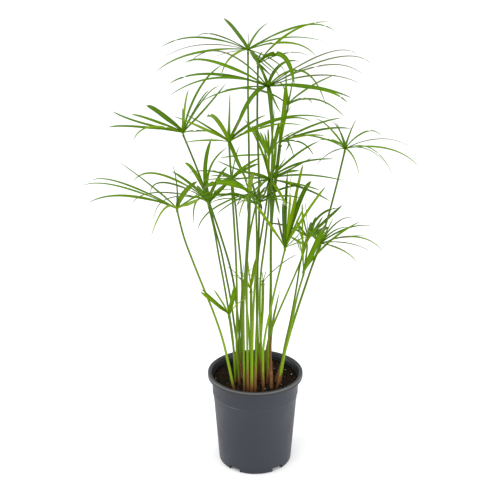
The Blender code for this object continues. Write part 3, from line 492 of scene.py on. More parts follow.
def feed(tree, socket, value):
    """Links a socket to another one, or gives it a number or a colour."""
    if isinstance(value, bpy.types.NodeSocket):
        tree.links.new(value, socket)
    elif socket.type == "RGBA":
        socket.default_value = (*value, 1.0)
    else:
        socket.default_value = value


def add_node(tree, kind, inputs, **settings):
    """Adds a node. Its settings are attributes, and its inputs are values or the sockets linked to them."""
    node = tree.nodes.new(kind)
    for name, value in settings.items():
        setattr(node, name, value)
    for name, value in inputs.items():
        feed(tree, node.inputs[name], value)
    return node


def object_place(tree, scale=(1, 1, 1)):
    """Returns Object coordinates times a scale for each direction."""
    coordinates = add_node(tree, "ShaderNodeTexCoord", {})
    mapping = add_node(tree, "ShaderNodeMapping", {"Vector": coordinates.outputs["Object"], "Scale": scale})
    return mapping.outputs["Vector"]


def surface_place(tree, scale=(1, 1, 1)):
    """Returns the piece's own UV map times a scale for each direction."""
    uv_map = add_node(tree, "ShaderNodeUVMap", {}, uv_map="surface")
    mapping = add_node(tree, "ShaderNodeMapping", {"Vector": uv_map.outputs["UV"], "Scale": scale})
    return mapping.outputs["Vector"]


def noise(tree, place, detail, roughness=0.5, scale=1.0):
    """Returns a noise texture's value."""
    node = add_node(tree, "ShaderNodeTexNoise", {"Vector": place, "Scale": scale, "Detail": detail,
                                                 "Roughness": roughness})
    return node.outputs["Fac"]


def spread(tree, value, low, high, to_low=0.0, to_high=1.0):
    """Returns a value moved from one range to another and kept inside it."""
    node = add_node(tree, "ShaderNodeMapRange", {"Value": value, "From Min": low, "From Max": high,
                                                 "To Min": to_low, "To Max": to_high})
    return node.outputs["Result"]


def swing(tree, value, low, high):
    """Returns a noise's value, which lies mostly from 0.3 to 0.7, moved to a range."""
    return spread(tree, value, 0.3, 0.7, low, high)


def mixed(tree, share, first, second):
    """Returns two colours mixed by a share."""
    return add_node(tree, "ShaderNodeMix", {0: share, 6: first, 7: second}, data_type="RGBA").outputs[2]


def calculated(tree, operation, first, second):
    """Returns a sum, product or other result of two values."""
    return add_node(tree, "ShaderNodeMath", {0: first, 1: second}, operation=operation).outputs[0]


def times(tree, first, second):
    """Returns the product of two values."""
    return calculated(tree, "MULTIPLY", first, second)


def between(tree, value, low, from_high, to_high, high):
    """Returns 1 where a value lies from the second limit to the third, falling to 0 at the outer two."""
    return times(tree, spread(tree, value, low, from_high), spread(tree, value, high, to_high))


def mark(tree, name):
    """Returns the value of one of the piece's attributes."""
    return add_node(tree, "ShaderNodeAttribute", {}, attribute_name=name).outputs["Fac"]


def bump(tree, height, strength, distance):
    """Returns a bumped normal."""
    node = add_node(tree, "ShaderNodeBump", {"Height": height, "Strength": strength, "Distance": distance})
    return node.outputs["Normal"]


def finished(material, colour, roughness, specular, normal=None):
    """Gives the material's shader its colour, roughness, strength of reflection and normal."""
    tree = material.node_tree
    inputs = {"Base Color": colour, "Roughness": roughness, "Specular IOR Level": specular}
    if normal is not None:
        inputs["Normal"] = normal
    for name, value in inputs.items():
        feed(tree, tree.nodes["Principled BSDF"].inputs[name], value)
    return material


def pot_plastic(settings):
    """Matte moulded plastic: a fine grain, a faint cloudy tone, and pale dust and scuffs in patches.

    The wall inside near the mix and, more lightly, the lip are painted darker as shade, and the tops of the
    lip's two beads carry a pale painted highlight, as the ledge under the band does, more at the left than at
    the right. Places are in millimetres."""
    material, tree = new_material("slate plastic")
    per_mm = 1 / MM
    place = add_node(tree, "ShaderNodeSeparateXYZ", {0: object_place(tree, (per_mm, per_mm, per_mm))})
    height = place.outputs["Z"]
    radius = add_node(tree, "ShaderNodeVectorMath", {0: object_place(tree, (per_mm, per_mm, 0))},
                      operation="LENGTH").outputs["Value"]
    grain = noise(tree, object_place(tree, (2600, 2600, 2600)), 2.0)
    cloud = noise(tree, object_place(tree, (28, 28, 18)), 4.0, 0.6)
    scuff = noise(tree, object_place(tree, (240, 240, 620)), 5.0, 0.7)
    dust = times(tree, spread(tree, cloud, 0.52, 0.75), spread(tree, scuff, 0.52, 0.74))
    dusty = mixed(tree, spread(tree, dust, 0.0, 1.0, 0.06, 0.75), settings.colour, settings.worn)
    # Painted shade on the wall inside, above the mix
    inside = times(tree, spread(tree, radius, BAND_LOW + 0.3, BAND_LOW - 0.2),
                   spread(tree, height, 144.0, 148.0, 0.0, 0.85))
    inner_shade = mixed(tree, inside, dusty, settings.painted_shade)
    # Painted shade over the lip, which leaves its groove dark
    lip_shade = spread(tree, height, LIP_TOP - 6.8, LIP_TOP - 5.5, 0.0, 0.45)
    shaded = mixed(tree, lip_shade, inner_shade, settings.painted_shade)
    # Painted highlight on the tops of the lip's beads and on the ledge under the band, more at the left
    outer_bead = spread(tree, radius, LIP_RADIUS - 2.0, LIP_RADIUS - 0.8)
    inner_bead = between(tree, radius, LIP_INNER - 0.4, LIP_INNER, LIP_INNER + 0.8, LIP_INNER + 1.4)
    beads = calculated(tree, "MAXIMUM", outer_bead, times(tree, inner_bead, 0.4))
    bead_highlight = times(tree, beads, spread(tree, height, LIP_TOP - 3.0, LIP_TOP - 2.0))
    ledge = between(tree, height, BAND_LOW_Z - 1.2, BAND_LOW_Z - 0.6, BAND_LOW_Z + 0.4, BAND_LOW_Z + 1.2)
    ledge = times(tree, ledge, spread(tree, place.outputs["X"], 10.0, -30.0, 0.25, 1.0))
    ledge = times(tree, ledge, spread(tree, cloud, 0.38, 0.58, 0.1, 0.8))
    edges = calculated(tree, "MAXIMUM", bead_highlight, ledge)
    colour = mixed(tree, spread(tree, edges, 0.0, 1.0, 0.0, 0.6), shaded, settings.edge)
    return finished(material, colour, swing(tree, cloud, 0.40, 0.56), 0.35, bump(tree, grain, 0.18, 0.2 * MM))


def peat_surface(settings):
    """Moist peat: near black with brown fibres and small tan flecks."""
    material, tree = new_material("peat")
    place = object_place(tree)
    lumps = noise(tree, place, 6.0, 0.65, 260.0)
    flecks = add_node(tree, "ShaderNodeTexVoronoi", {"Vector": place, "Scale": 420.0})
    warm = mixed(tree, spread(tree, lumps, 0.4, 0.7), settings.peat, [2.6 * part for part in settings.peat])
    fleck = times(tree, spread(tree, flecks.outputs["Distance"], 0.10, 0.04),
                  spread(tree, flecks.outputs["Color"], 0.80, 0.86))
    colour = mixed(tree, fleck, warm, settings.bark)
    return finished(material, colour, swing(tree, lumps, 0.75, 0.98), 0.05, bump(tree, lumps, 0.9, 1.5 * MM))


def crumb_surface(settings):
    """Loose bits: peat, bark or perlite by the bit's own mark, with a darker grain over it."""
    material, tree = new_material("crumbs")
    grain = noise(tree, object_place(tree, (900, 900, 900)), 4.0, 0.6)
    kind = mark(tree, "kind")
    bark = mixed(tree, spread(tree, kind, 0.30, 0.70), settings.peat, settings.bark)
    clean = mixed(tree, spread(tree, kind, 1.2, 1.8), bark, settings.perlite)
    dirt = (0.02, 0.012, 0.008)
    colour = mixed(tree, swing(tree, grain, 0.0, 0.55), clean, dirt)
    return finished(material, colour, swing(tree, grain, 0.7, 0.95), 0.06, bump(tree, grain, 0.5, 0.6 * MM))


def culm_skin(settings):
    """A culm: dark green above and fresh green below by its marks, with one side painted lighter and the other
    darker as shade, fine ribs along it, and dry feet painted browner near the mix as shade.
    """
    material, tree = new_material("culm skin")
    ribs = noise(tree, surface_place(tree, (26, 3, 1)), 2.0)
    blotch = noise(tree, object_place(tree, (70, 70, 34)), 4.0, 0.6)
    green = mixed(tree, mark(tree, "fresh"), settings.dark, settings.fresh)
    ribbed = mixed(tree, spread(tree, ribs, 0.35, 0.7, 0.0, 0.40), green, settings.fresh)
    dryness = calculated(tree, "ADD", mark(tree, "dry"), spread(tree, blotch, 0.45, 0.75, -0.12, 0.22))
    browned = mixed(tree, spread(tree, mark(tree, "brown"), 0.0, 1.0), settings.dry, settings.brown)
    streaked = mixed(tree, swing(tree, ribs, 0.0, 0.5), browned, settings.brown)
    colour = mixed(tree, spread(tree, dryness, 0.25, 0.75), ribbed, streaked)
    return finished(material, colour, swing(tree, blotch, 0.42, 0.6), 0.03, bump(tree, ribs, 0.5, 0.3 * MM))


def dry_skin(settings):
    """A papery dry sheath: tan with brown streaks along it."""
    material, tree = new_material("dry sheath")
    ribs = noise(tree, surface_place(tree, (22, 2.5, 1)), 3.0, 0.6)
    blotch = noise(tree, object_place(tree, (90, 90, 40)), 4.0, 0.6)
    tan = mixed(tree, spread(tree, blotch, 0.35, 0.7, 0.0, 0.8), settings.dry, settings.brown)
    colour = mixed(tree, spread(tree, ribs, 0.4, 0.7, 0.0, 0.7), tan, settings.brown)
    return finished(material, colour, swing(tree, blotch, 0.6, 0.85), 0.2, bump(tree, ribs, 0.7, 0.4 * MM))


def bract_skin(settings):
    """A bract: green by its mark, with parallel veins, a paler midrib, and a dry tip."""
    material, tree = new_material("bract skin")
    veins = noise(tree, surface_place(tree, (30, 1.2, 1)), 2.0)
    cloud = noise(tree, object_place(tree, (45, 45, 45)), 4.0, 0.6)
    tone = calculated(tree, "ADD", mark(tree, "tone"), swing(tree, cloud, -0.12, 0.12))
    green = mixed(tree, spread(tree, tone, -1.0, 0.0), settings.deep, settings.green)
    bright = mixed(tree, spread(tree, tone, 0.0, 1.0), green, settings.bright)
    veined = mixed(tree, spread(tree, veins, 0.4, 0.75, 0.0, 0.35), bright, settings.deep)
    place = add_node(tree, "ShaderNodeSeparateXYZ", {0: surface_place(tree)}).outputs["X"]
    middle = calculated(tree, "ABSOLUTE", calculated(tree, "SUBTRACT", place, 0.5), 0.0)
    ribbed = mixed(tree, spread(tree, middle, 0.07, 0.02, 0.0, 0.35), veined, settings.bright)
    colour = mixed(tree, spread(tree, mark(tree, "dry"), 0.2, 0.8), ribbed, settings.tip)
    return finished(material, colour, swing(tree, cloud, 0.40, 0.55), 0.02, bump(tree, veins, 0.35, 0.2 * MM))


def pale_floor(settings):
    """A plain floor whose tone varies very slightly."""
    material, tree = new_material("pale floor")
    cloud = noise(tree, object_place(tree, (3, 3, 3)), 2.0)
    colour = mixed(tree, swing(tree, cloud, 0.0, 0.02), settings.floor, (0.8, 0.8, 0.8))
    return finished(material, colour, 0.9, 0.1)


# Pieces

def place_piece(piece, slot, *nodes):
    """Lets a piece ride on the plant's one body and hides the CAD nodes it stands for. Its slot is not used.
    """
    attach(piece, BODY)
    if nodes:
        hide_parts(*nodes)


def pot_outline(wall):
    """Returns the pot's outline in millimetres, from the underside round the lip to the floor inside.

    The lip is a round bead, a shallow groove and a lower inner bead. Under it the band stands out from the
    tapered wall by a small step and a sloping shoulder, and inside each of these shows a wall's depth in."""
    outer = [(24.0, 0.6), (26.0, 0.0), (BASE - 3.0, 0.0)]
    outer += arc((BASE - 2.6, 2.8), 2.8, -80, 0, 5)[0:4]
    outer += [(BASE + (SHOULDER - BASE) * z / SHOULDER_Z, z) for z in (3.2, 42.0, 80.0)]
    outer += [(SHOULDER, SHOULDER_Z), (SHOULDER + 0.5, SHOULDER_Z + 1.6), (BAND_LOW - 0.8, BAND_LOW_Z - 2.0),
              (BAND_LOW - 0.45, BAND_LOW_Z - 0.7), (BAND_LOW + 0.1, BAND_LOW_Z - 0.4),
              (BAND_LOW + 0.2, BAND_LOW_Z + 0.3), (BAND_LOW + 0.05, BAND_LOW_Z + 1.2),
              (BAND_TOP, 157.5), (BAND_TOP + 0.3, 158.8), (BAND_TOP + 1.2, 159.4)]
    lip = [(LIP_RADIUS - 1.6, 159.6), (LIP_RADIUS - 0.5, 160.1), (LIP_RADIUS - 0.1, 161.3),
           (LIP_RADIUS, 163.0), (LIP_RADIUS - 0.1, 165.6)]
    lip += arc((LIP_RADIUS - 1.8, 166.3), 1.7, 10, 130, 6)
    lip += [(LIP_RADIUS - 3.6, 167.0), (LIP_RADIUS - 4.3, 166.7), (LIP_RADIUS - 4.9, 166.9)]
    lip += arc((LIP_INNER + 0.7, 166.2), 0.9, 80, 200, 4)
    inner = [(BAND_TOP - wall + 1.4, 163.0), (BAND_TOP - wall + 0.5, 160.2), (BAND_TOP - wall + 0.4, 157.9),
             (BAND_TOP - wall - 0.1, 157.3), (BAND_LOW - wall, BAND_LOW_Z), (SHOULDER - wall, SHOULDER_Z),
             (BASE + 2.6 - wall, 42.0), (BASE + 0.3 - wall, 6.0), (BASE - 1.2 - wall, 2.6),
             (BASE - 3.0 - wall, wall), (24.0, wall)]
    return outer + lip + inner


def rounded_box(size, corner, centre, turn):
    """Returns the two end rings of a box, which is then turned round the pot's axis. It takes millimetres.

    Its section is a rounded rectangle: a quarter circle round a point inside each corner. It is carried along
    the box's length."""
    length, width, height = size
    quarter = np.radians(np.linspace(0, 90, 4))
    outline = []
    for start, (side, up) in zip((0, 90, 180, 270), ((1, 1), (-1, 1), (-1, -1), (1, -1))):
        angles = quarter + math.radians(start)
        outline.append(np.stack([side * (width / 2 - corner) + corner * np.cos(angles),
                                 up * (height / 2 - corner) + corner * np.sin(angles)], axis=-1))
    outline = np.concatenate(outline)
    x = centre[0] + np.array([-length / 2, length / 2])[:, None] + np.zeros(len(outline))
    y = centre[1] + np.broadcast_to(outline[:, 0], x.shape)
    z = centre[2] + np.broadcast_to(outline[:, 1], x.shape)
    return np.stack([*rotated(x, y, turn), z], axis=-1) * MM


def cutter(name, size, corner, centre):
    """Makes a passing object of like boxes, one at each drain notch."""
    shape = Shape()
    for number in range(NOTCH_COUNT):
        turn = NOTCH_FIRST + math.tau * number / NOTCH_COUNT
        shape.add(*capped(rounded_box(size, corner, centre, turn)))
    return shape.make(name, bpy.data.materials.get("slate plastic"))


def apply_modifiers(piece):
    """Puts what the piece's modifiers make into its mesh, and takes them off."""
    done = bpy.data.meshes.new_from_object(piece.evaluated_get(bpy.context.evaluated_depsgraph_get()))
    old = piece.data
    piece.modifiers.clear()
    piece.data = done
    done.name = old.name
    bpy.data.meshes.remove(old)


def build_pot(settings):
    """Builds the pot: its outline turned round Z, with a pocket, notch and drain hole cut at each notch."""
    wall = settings.wall / MM
    shape = Shape()
    shape.add(*capped(turned(pot_outline(wall), settings.sides)))
    pot = shape.make("pot_shell", pot_plastic(settings), POT_CREASE)
    inner_end = BASE - NOTCH_DEPTH
    cut_depth = NOTCH_DEPTH + 6.0
    pocket_x = (inner_end - wall, BASE - 0.9)
    pocket_z = (0.5, NOTCH_HEIGHT + wall)
    pocket = (pocket_x[1] - pocket_x[0], NOTCH_WIDTH + 2 * wall, pocket_z[1] - pocket_z[0])
    cutters = (
        (cutter("pockets", pocket, 1.6, (sum(pocket_x) / 2, 0.0, sum(pocket_z) / 2)), "UNION"),
        (cutter("notches", (cut_depth, NOTCH_WIDTH, 2 * NOTCH_HEIGHT), 1.4,
                (inner_end + cut_depth / 2, 0.0, 0.0)), "DIFFERENCE"),
        (cutter("drains", (5.0, 9.0, 6.0), 1.2,
                (inner_end + 0.4 * NOTCH_DEPTH, 0.0, NOTCH_HEIGHT + wall / 2)), "DIFFERENCE"))
    for tool, operation in cutters:
        boolean = pot.modifiers.new(tool.name, "BOOLEAN")
        boolean.operation = operation
        boolean.object = tool
        boolean.solver = "EXACT"
    apply_modifiers(pot)
    for tool, _ in cutters:
        mesh = tool.data
        bpy.data.objects.remove(tool, do_unlink=True)
        bpy.data.meshes.remove(mesh)
    pot.data.set_sharp_from_angle(angle=math.radians(POT_CREASE))
    place_piece(pot, "pot", "pot")


def mix_height(x, y, lump):
    """Returns the mix's height: a crown, falling with the distance squared, and noise of three sizes."""
    level = MIX_LEVEL + MIX_CROWN * (1 - (x * x + y * y) / (SHOULDER * MM) ** 2)
    rough = (0.9 * value_noise(x, y, 11 * MM, 3) + 0.6 * value_noise(x + 0.3, y, 4.5 * MM, 4)
             + 0.35 * value_noise(x, y + 0.3, 1.8 * MM, 5))
    return level + lump * rough


def build_mix(settings):
    """Builds the potting mix: rings from the floor up the wall, then inwards over the lumpy surface."""
    foot = BASE - NOTCH_DEPTH - 3.0
    sleeve = turned([(foot, 2.2), (foot, 9.6), (BASE - 1.7, 9.7), (SHOULDER - MIX_INSET, SHOULDER_Z),
                     (BAND_LOW - MIX_INSET, BAND_LOW_Z), (BAND_LOW - 1.9, 150.0)], MIX_SIDES)
    angles = ring_angles(MIX_SIDES)
    radius = np.linspace(1.0, 0.02, MIX_RINGS)[:, None] * (BAND_TOP - MIX_INSET) * MM
    x, y = radius * np.cos(angles), radius * np.sin(angles)
    surface = np.stack([x, y, mix_height(x, y, settings.lump)], axis=-1)
    shape = Shape()
    shape.add(*capped(np.concatenate([sleeve, surface])))
    place_piece(shape.make("peat", peat_surface(settings), 80), "potting_mix", "potting_mix")


def icosahedron():
    """Returns an icosahedron's points, the corners of three golden rectangles, and its triangles."""
    gold = (1 + math.sqrt(5)) / 2
    points = [(-1, gold, 0), (1, gold, 0), (-1, -gold, 0), (1, -gold, 0), (0, -1, gold), (0, 1, gold),
              (0, -1, -gold), (0, 1, -gold), (gold, 0, -1), (gold, 0, 1), (-gold, 0, -1), (-gold, 0, 1)]
    faces = [(0, 11, 5), (0, 5, 1), (0, 1, 7), (0, 7, 10), (0, 10, 11), (1, 5, 9), (5, 11, 4), (11, 10, 2),
             (10, 7, 6), (7, 1, 8), (3, 9, 4), (3, 4, 2), (3, 2, 6), (3, 6, 8), (3, 8, 9), (4, 9, 5),
             (2, 4, 11), (6, 2, 10), (8, 6, 7), (9, 8, 1)]
    return unit(np.array(points)), np.array(faces)


def build_crumbs(settings):
    """Builds the loose bits: icosahedra, dented, stretched, tilted and spun at random, and laid on the mix.

    Most are peat, some are flat flakes of bark, and a few are white grains."""
    random = np.random.default_rng(11)
    count = settings.crumbs
    points, faces = icosahedron()
    reach = (BAND_TOP - 4.5) * MM * np.sqrt(random.uniform(0.0, 1.0, count))
    turn = random.uniform(0.0, math.tau, count)
    kind = random.choice([PEAT, FIBRE, BARK, PERLITE], count, p=CRUMB_SHARES)
    size = random.uniform(0.45, 1.2, count) * np.where(kind == BARK, 0.8, 1.0) * MM
    flat = np.where(kind == BARK, random.uniform(0.3, 0.5, count), random.uniform(0.6, 0.95, count))
    stretch = np.stack([random.uniform(0.9, 1.9, count), np.ones(count), flat], axis=-1)
    dent = 1 + random.uniform(-0.28, 0.28, (count, len(points)))
    bits = points[None] * dent[..., None] * stretch[:, None] * size[:, None, None]
    tilt = random.normal(0.0, 0.35, (count, 2))[:, :1]
    spin = random.uniform(0.0, math.tau, count)[:, None]
    y, z = rotated(bits[..., 1], bits[..., 2], tilt)
    x, y = rotated(bits[..., 0], y, spin)
    bits = np.stack([x, y, z], axis=-1)
    x, y = reach * np.cos(turn), reach * np.sin(turn)
    bits += np.stack([x, y, mix_height(x, y, settings.lump) + 0.25 * size], axis=-1)[:, None]
    starts = (np.arange(count) * len(points))[:, None, None]
    shape = Shape()
    shape.add(bits, [(faces[None] + starts).reshape(-1, 3)], kind=np.repeat(kind, len(points)))
    place_piece(shape.make("peat_crumbs", crumb_surface(settings), 30), "potting_mix")


def culm_places(length):
    """Returns places up a culm as shares of its length: 2.5 mm apart over the lowest 100 mm, then some 13 mm,
    and close together again in the last 7 mm, where the collar is."""
    low = np.arange(0.0, min(100 * MM, 0.6 * length), 2.5 * MM)
    high = np.linspace(low[-1] + 3 * MM, length - 7 * MM, max(8, int(length / (13 * MM))))
    top = length - np.array([5.5, 4.0, 2.5, 1.2, 0.0]) * MM
    return np.concatenate([low, high, top]) / length


def build_culm(number, settings, material):
    """Builds a culm along the curve through its CAD node's rings.

    Its radius falls from foot to top with the 0.8th power of the way, times a stoutness that changes about
    the middle. The section has three slight corners that turn as it rises, and the top widens to a collar
    under the umbel. The basal sheath is a step in the radius whose edge runs obliquely round the culm. The
    marks say how fresh a green it is, most near the foot, with one side painted lighter and the other darker
    as shade, and how dry and brown, most in its lowest part, where they also paint the shade near the mix."""
    node = f"culm_{number:02d}"
    sheath_height, dry, brown, fresh = FEET[number]
    low, high = STOUT.get(number, (1.0, 1.0))
    random = np.random.default_rng(100 + number)
    turn = random.uniform(0.0, math.tau)
    knots = ring_centres(node, CULM_CORNERS)
    knots[0] -= unit(knots[1] - knots[0]) * BURIED
    length = chords(knots).sum()
    places = culm_places(length)
    share = places[:, None]
    up = share * length - BURIED
    angles = ring_angles(CULM_COLUMNS)
    edge = sheath_height * MM * (1 + 0.28 * np.cos(angles - turn))[None]
    under = 1 - smoothstep(0.0, 3 * MM, up - edge)
    radius = settings.foot_radius + (settings.top_radius - settings.foot_radius) * share ** 0.8
    radius = radius * (1 + (low - 1) * (1 - smoothstep(0.2, 0.6, share))
                       + (high - 1) * smoothstep(0.5, 0.85, share))
    radius = radius * (1 + 0.07 * np.cos(3 * (angles - turn) + 1.5 * share))
    radius = radius + 0.28 * MM * under * (1 - 0.4 * up / edge)
    radius = radius * (1 + 0.35 * smoothstep(length - 5 * MM, length, share * length))
    # The fresh mark's last term paints one side of the culm lighter and the other darker, as highlight and
    # shade
    fresh_and_side_shade = (fresh * (1 - smoothstep(0.05, 0.34, up)) + random.uniform(-0.15, 0.12)
                  + 0.75 * smoothstep(length - 9 * MM, length, up)
                  + random.uniform(0.15, 0.35) * np.cos(angles + random.uniform(0.0, math.tau)))
    wave = 0.5 + 0.5 * np.sin(9 * angles + turn)
    # The last terms of the dry and brown marks paint the shade at the very foot, near the mix, as brown and
    # dry colour
    dry_and_foot_shade = dry * under * (1 - 0.35 * (up / edge) * wave) + 0.5 * (1 - smoothstep(0.0, 32 * MM, up))
    brown_and_foot_shade = np.broadcast_to(brown + 0.5 * (1 - smoothstep(0.0, 14 * MM, up)), radius.shape)
    points, faces, uvs = capped(tube_rings(smooth_line(knots, places), radius, angles))
    for uv in uvs:
        uv[..., 1] *= length * 10
    shape = Shape()
    shape.add(points, faces, uvs, fresh=with_poles(fresh_and_side_shade), dry=with_poles(dry_and_foot_shade),
              brown=with_poles(brown_and_foot_shade))
    place_piece(shape.make(f"stem_{number:02d}", material), "culm", node)


def build_sheath(node, number, settings, material):
    """Builds a dry sheath: a thin sleeve round a culm's foot, with a wavy, oblique and ragged upper edge.

    The outer wall goes up, turns over the edge, and comes down inside a wall's thickness nearer the culm.
    Sines of the angle give the edge's height, the wrinkles, and a flare to one side near the edge."""
    rings = ring_centres(node, SHEATH_CORNERS)
    culm = ring_centres(f"culm_{number:02d}", CULM_CORNERS)
    length = chords(culm).sum()
    height = (rings[-1, 2] - rings[0, 2]) * 1.04
    angles = ring_angles(SHEATH_COLUMNS)
    turn = np.random.default_rng(200 + number).uniform(0.0, math.tau)
    share = np.linspace(0.0, 1.0, SHEATH_ROWS)[:, None]
    ragged = 0.10 * np.sin(5 * angles + turn) + 0.06 * np.sin(9 * angles + 2 * turn)
    up = share * height * (0.80 + 0.18 * np.cos(angles - turn) + ragged)
    line = smooth_line(culm, up.ravel() / length).reshape(*up.shape, 3)
    first, second = across(smooth_line(culm, np.linspace(0.0, height / length, 20)))
    direction = first[10] * np.cos(angles)[:, None] + second[10] * np.sin(angles)[:, None]
    wrinkle = 0.12 * np.sin(7 * angles + 9 * share + turn) + 0.08 * np.sin(12 * angles - 5 * share)
    flare = 0.55 * smoothstep(0.75, 1.0, share) * (0.5 + 0.5 * np.cos(angles - turn))
    outer = settings.foot_radius + (0.75 + wrinkle + flare) * MM
    wall_out = line + direction[None] * outer[..., None]
    wall_in = line + direction[None] * (outer - SHEATH_WALL)[..., None]
    wall = np.concatenate([wall_out, wall_in[::-1]])
    quads, uvs = grid(len(wall) + 1, SHEATH_COLUMNS)
    last = len(wall) * SHEATH_COLUMNS
    shape = Shape()
    shape.add(wall, [np.where(quads >= last, quads - last, quads)], [uvs * [1.0, 6.0]])
    place_piece(shape.make(f"dry_{node}", material), "sheath", node)


def build_shoot(settings, material):
    """Builds the closed young shoot: a slightly oval tube that narrows over its upper third."""
    places = np.linspace(0.0, 1.0, 44)
    share = places[:, None]
    angles = ring_angles(CULM_COLUMNS)
    radius = 1.9 * MM * (1 - 0.93 * smoothstep(0.66, 1.0, share) ** 1.5)
    radius = radius * (1 + 0.08 * np.cos(2 * angles + 3 * share))
    fresh = np.broadcast_to(0.95 - 0.25 * share, radius.shape)
    dry = np.broadcast_to(0.5 * (1 - smoothstep(0.0, 0.25, share)), radius.shape)
    line = smooth_line(ring_centres("shoot_01", CULM_CORNERS), places)
    points, faces, uvs = capped(tube_rings(line, radius, angles))
    shape = Shape()
    shape.add(points, faces, uvs, fresh=with_poles(fresh), dry=with_poles(dry), brown=0.2)
    place_piece(shape.make("young_shoot", material), "culm", "shoot_01")


def seen_at(point):
    """Returns the picture's pixel at which the camera sees a point."""
    camera = bpy.context.scene.papyrus_studio
    way = point - np.array(camera.eye)
    cos, sin = math.cos(camera.pitch), math.sin(camera.pitch)
    scale = PICTURE * camera.lens / SENSOR / (way[1] * cos - way[2] * sin)
    return PICTURE / 2 + scale * np.array([way[0], -(way[1] * sin + way[2] * cos)])


def bract_tones(number, tips, random):
    """Returns how bright a green each bract is, from -1 to 1, and how grey: its umbel's tone with a random
    part, or what is listed for the bract whose tip is seen nearest to a listed pixel."""
    tone = np.clip(random.normal(UMBEL_TONES.get(number, USUAL_TONE), TONE_SPREAD, len(tips)), -1.0, 1.0)
    grey = np.zeros(len(tips))
    places = np.array([seen_at(tip) for tip in tips])
    for *pixel, listed_tone, listed_grey in STANDING_OUT.get(number, ()):
        nearest = np.argmin(np.linalg.norm(places - pixel, axis=1))
        tone[nearest], grey[nearest] = listed_tone, listed_grey
    return tone, grey


def shown_shares(number, settings, ratio, grey, random):
    """Returns how much of its width each bract shows to the viewer.

    It is the usual share, and more for a bract whose width is a large or a very small share of its length,
    times a random part. A dry grey bract shows less, and one of a young umbel more."""
    shown = (settings.shown + 0.3 * smoothstep(0.042, 0.056, ratio)
             + 0.12 * (1 - smoothstep(0.028, 0.036, ratio)))
    shown = shown * random.uniform(0.92, 1.08, len(ratio)) * (1 - 0.25 * grey)
    return np.minimum(shown * 1.3 if number in YOUNG else shown, 0.96)


def bract_sides(line, level, view, shown, share):
    """Returns, along each bract, the unit direction of its width and the one out of its upper face.

    At the hub the width lies level. Over the first third it turns about the bract until the viewer sees the
    shown share of it: the direction seen in full times that share, plus the one seen on edge times the root
    of one less that share squared."""
    along = unit(np.gradient(line, axis=1))
    level_side = np.stack([-level[:, 1], level[:, 0], np.zeros(len(level))], axis=-1)[:, None]
    in_full = unit(np.cross(along, view))
    in_full *= np.sign((in_full * level_side).sum(axis=2))[..., None]
    on_edge = np.cross(in_full, along)
    on_edge *= np.where((on_edge * level_side).sum(axis=2) < 0, -1.0, 1.0)[..., None]
    shown = shown[:, None, None]
    blend = smoothstep(0.0, 0.35, share)[None, :, None]
    side = unit(level_side * (1 - blend) + (in_full * shown + on_edge * np.sqrt(1 - shown ** 2)) * blend)
    return side, unit(np.cross(along, side))


def half_widths(number, settings, widths, ratio, grey, share):
    """Returns half of each bract's width along it.

    The width in the CAD, less for a dry or slim bract, grows a little from the hub and narrows from the first
    third on. From two thirds on it also rounds off to the tip, with the 2.7th power of the way."""
    slim = np.where(np.abs(ratio - SLENDERNESS) < 0.0015, SLIM.get(number, 1.0), 1.0)
    full = settings.width * widths * (1 - 0.4 * grey) * slim
    narrowing = np.where(ratio > BROAD, NARROWING_BROAD, NARROWING_SLIM if number in SLIM else NARROWING_USUAL)
    if number in YOUNG:
        narrowing = np.full(len(widths), NARROWING_YOUNG)
    grown = 0.9 + 0.2 * smoothstep(0.0, 0.2, share) - narrowing[:, None] * smoothstep(0.28, 0.85, share)
    taper = 1 - np.clip((share - 0.66) / 0.34, 0.0, 1.0) ** 2.7
    return 0.5 * full[:, None] * grown * taper


def blade_faces(rows):
    """Returns one bract's quads and triangles: its rings, its base's cap, and a fan at its tip."""
    columns = len(SECTION)
    spans = (SECTION + 1) / 2
    quads, quad_uv = grid(rows, columns)
    column = np.rint(quad_uv[..., 0] * columns).astype(int) % columns
    quad_uv[..., 0] = spans[column]
    base_quads = np.array([[7, 6, 2, 1], [6, 5, 3, 2]])
    base_triangles = np.array([[0, 1, 7], [5, 3, 4]])
    here = np.arange(columns)
    top = (rows - 1) * columns
    tip = np.stack([top + here, top + (here + 1) % columns, np.full(columns, rows * columns)], axis=-1)
    triangles = np.concatenate([base_triangles, tip])
    uvs = [quad_uv, np.stack([spans[base_quads], np.zeros(base_quads.shape)], axis=-1),
           np.stack([spans[triangles % columns], np.where(triangles < columns, 0.0, 1.0)], axis=-1)]
    return [quads, base_quads, triangles], uvs


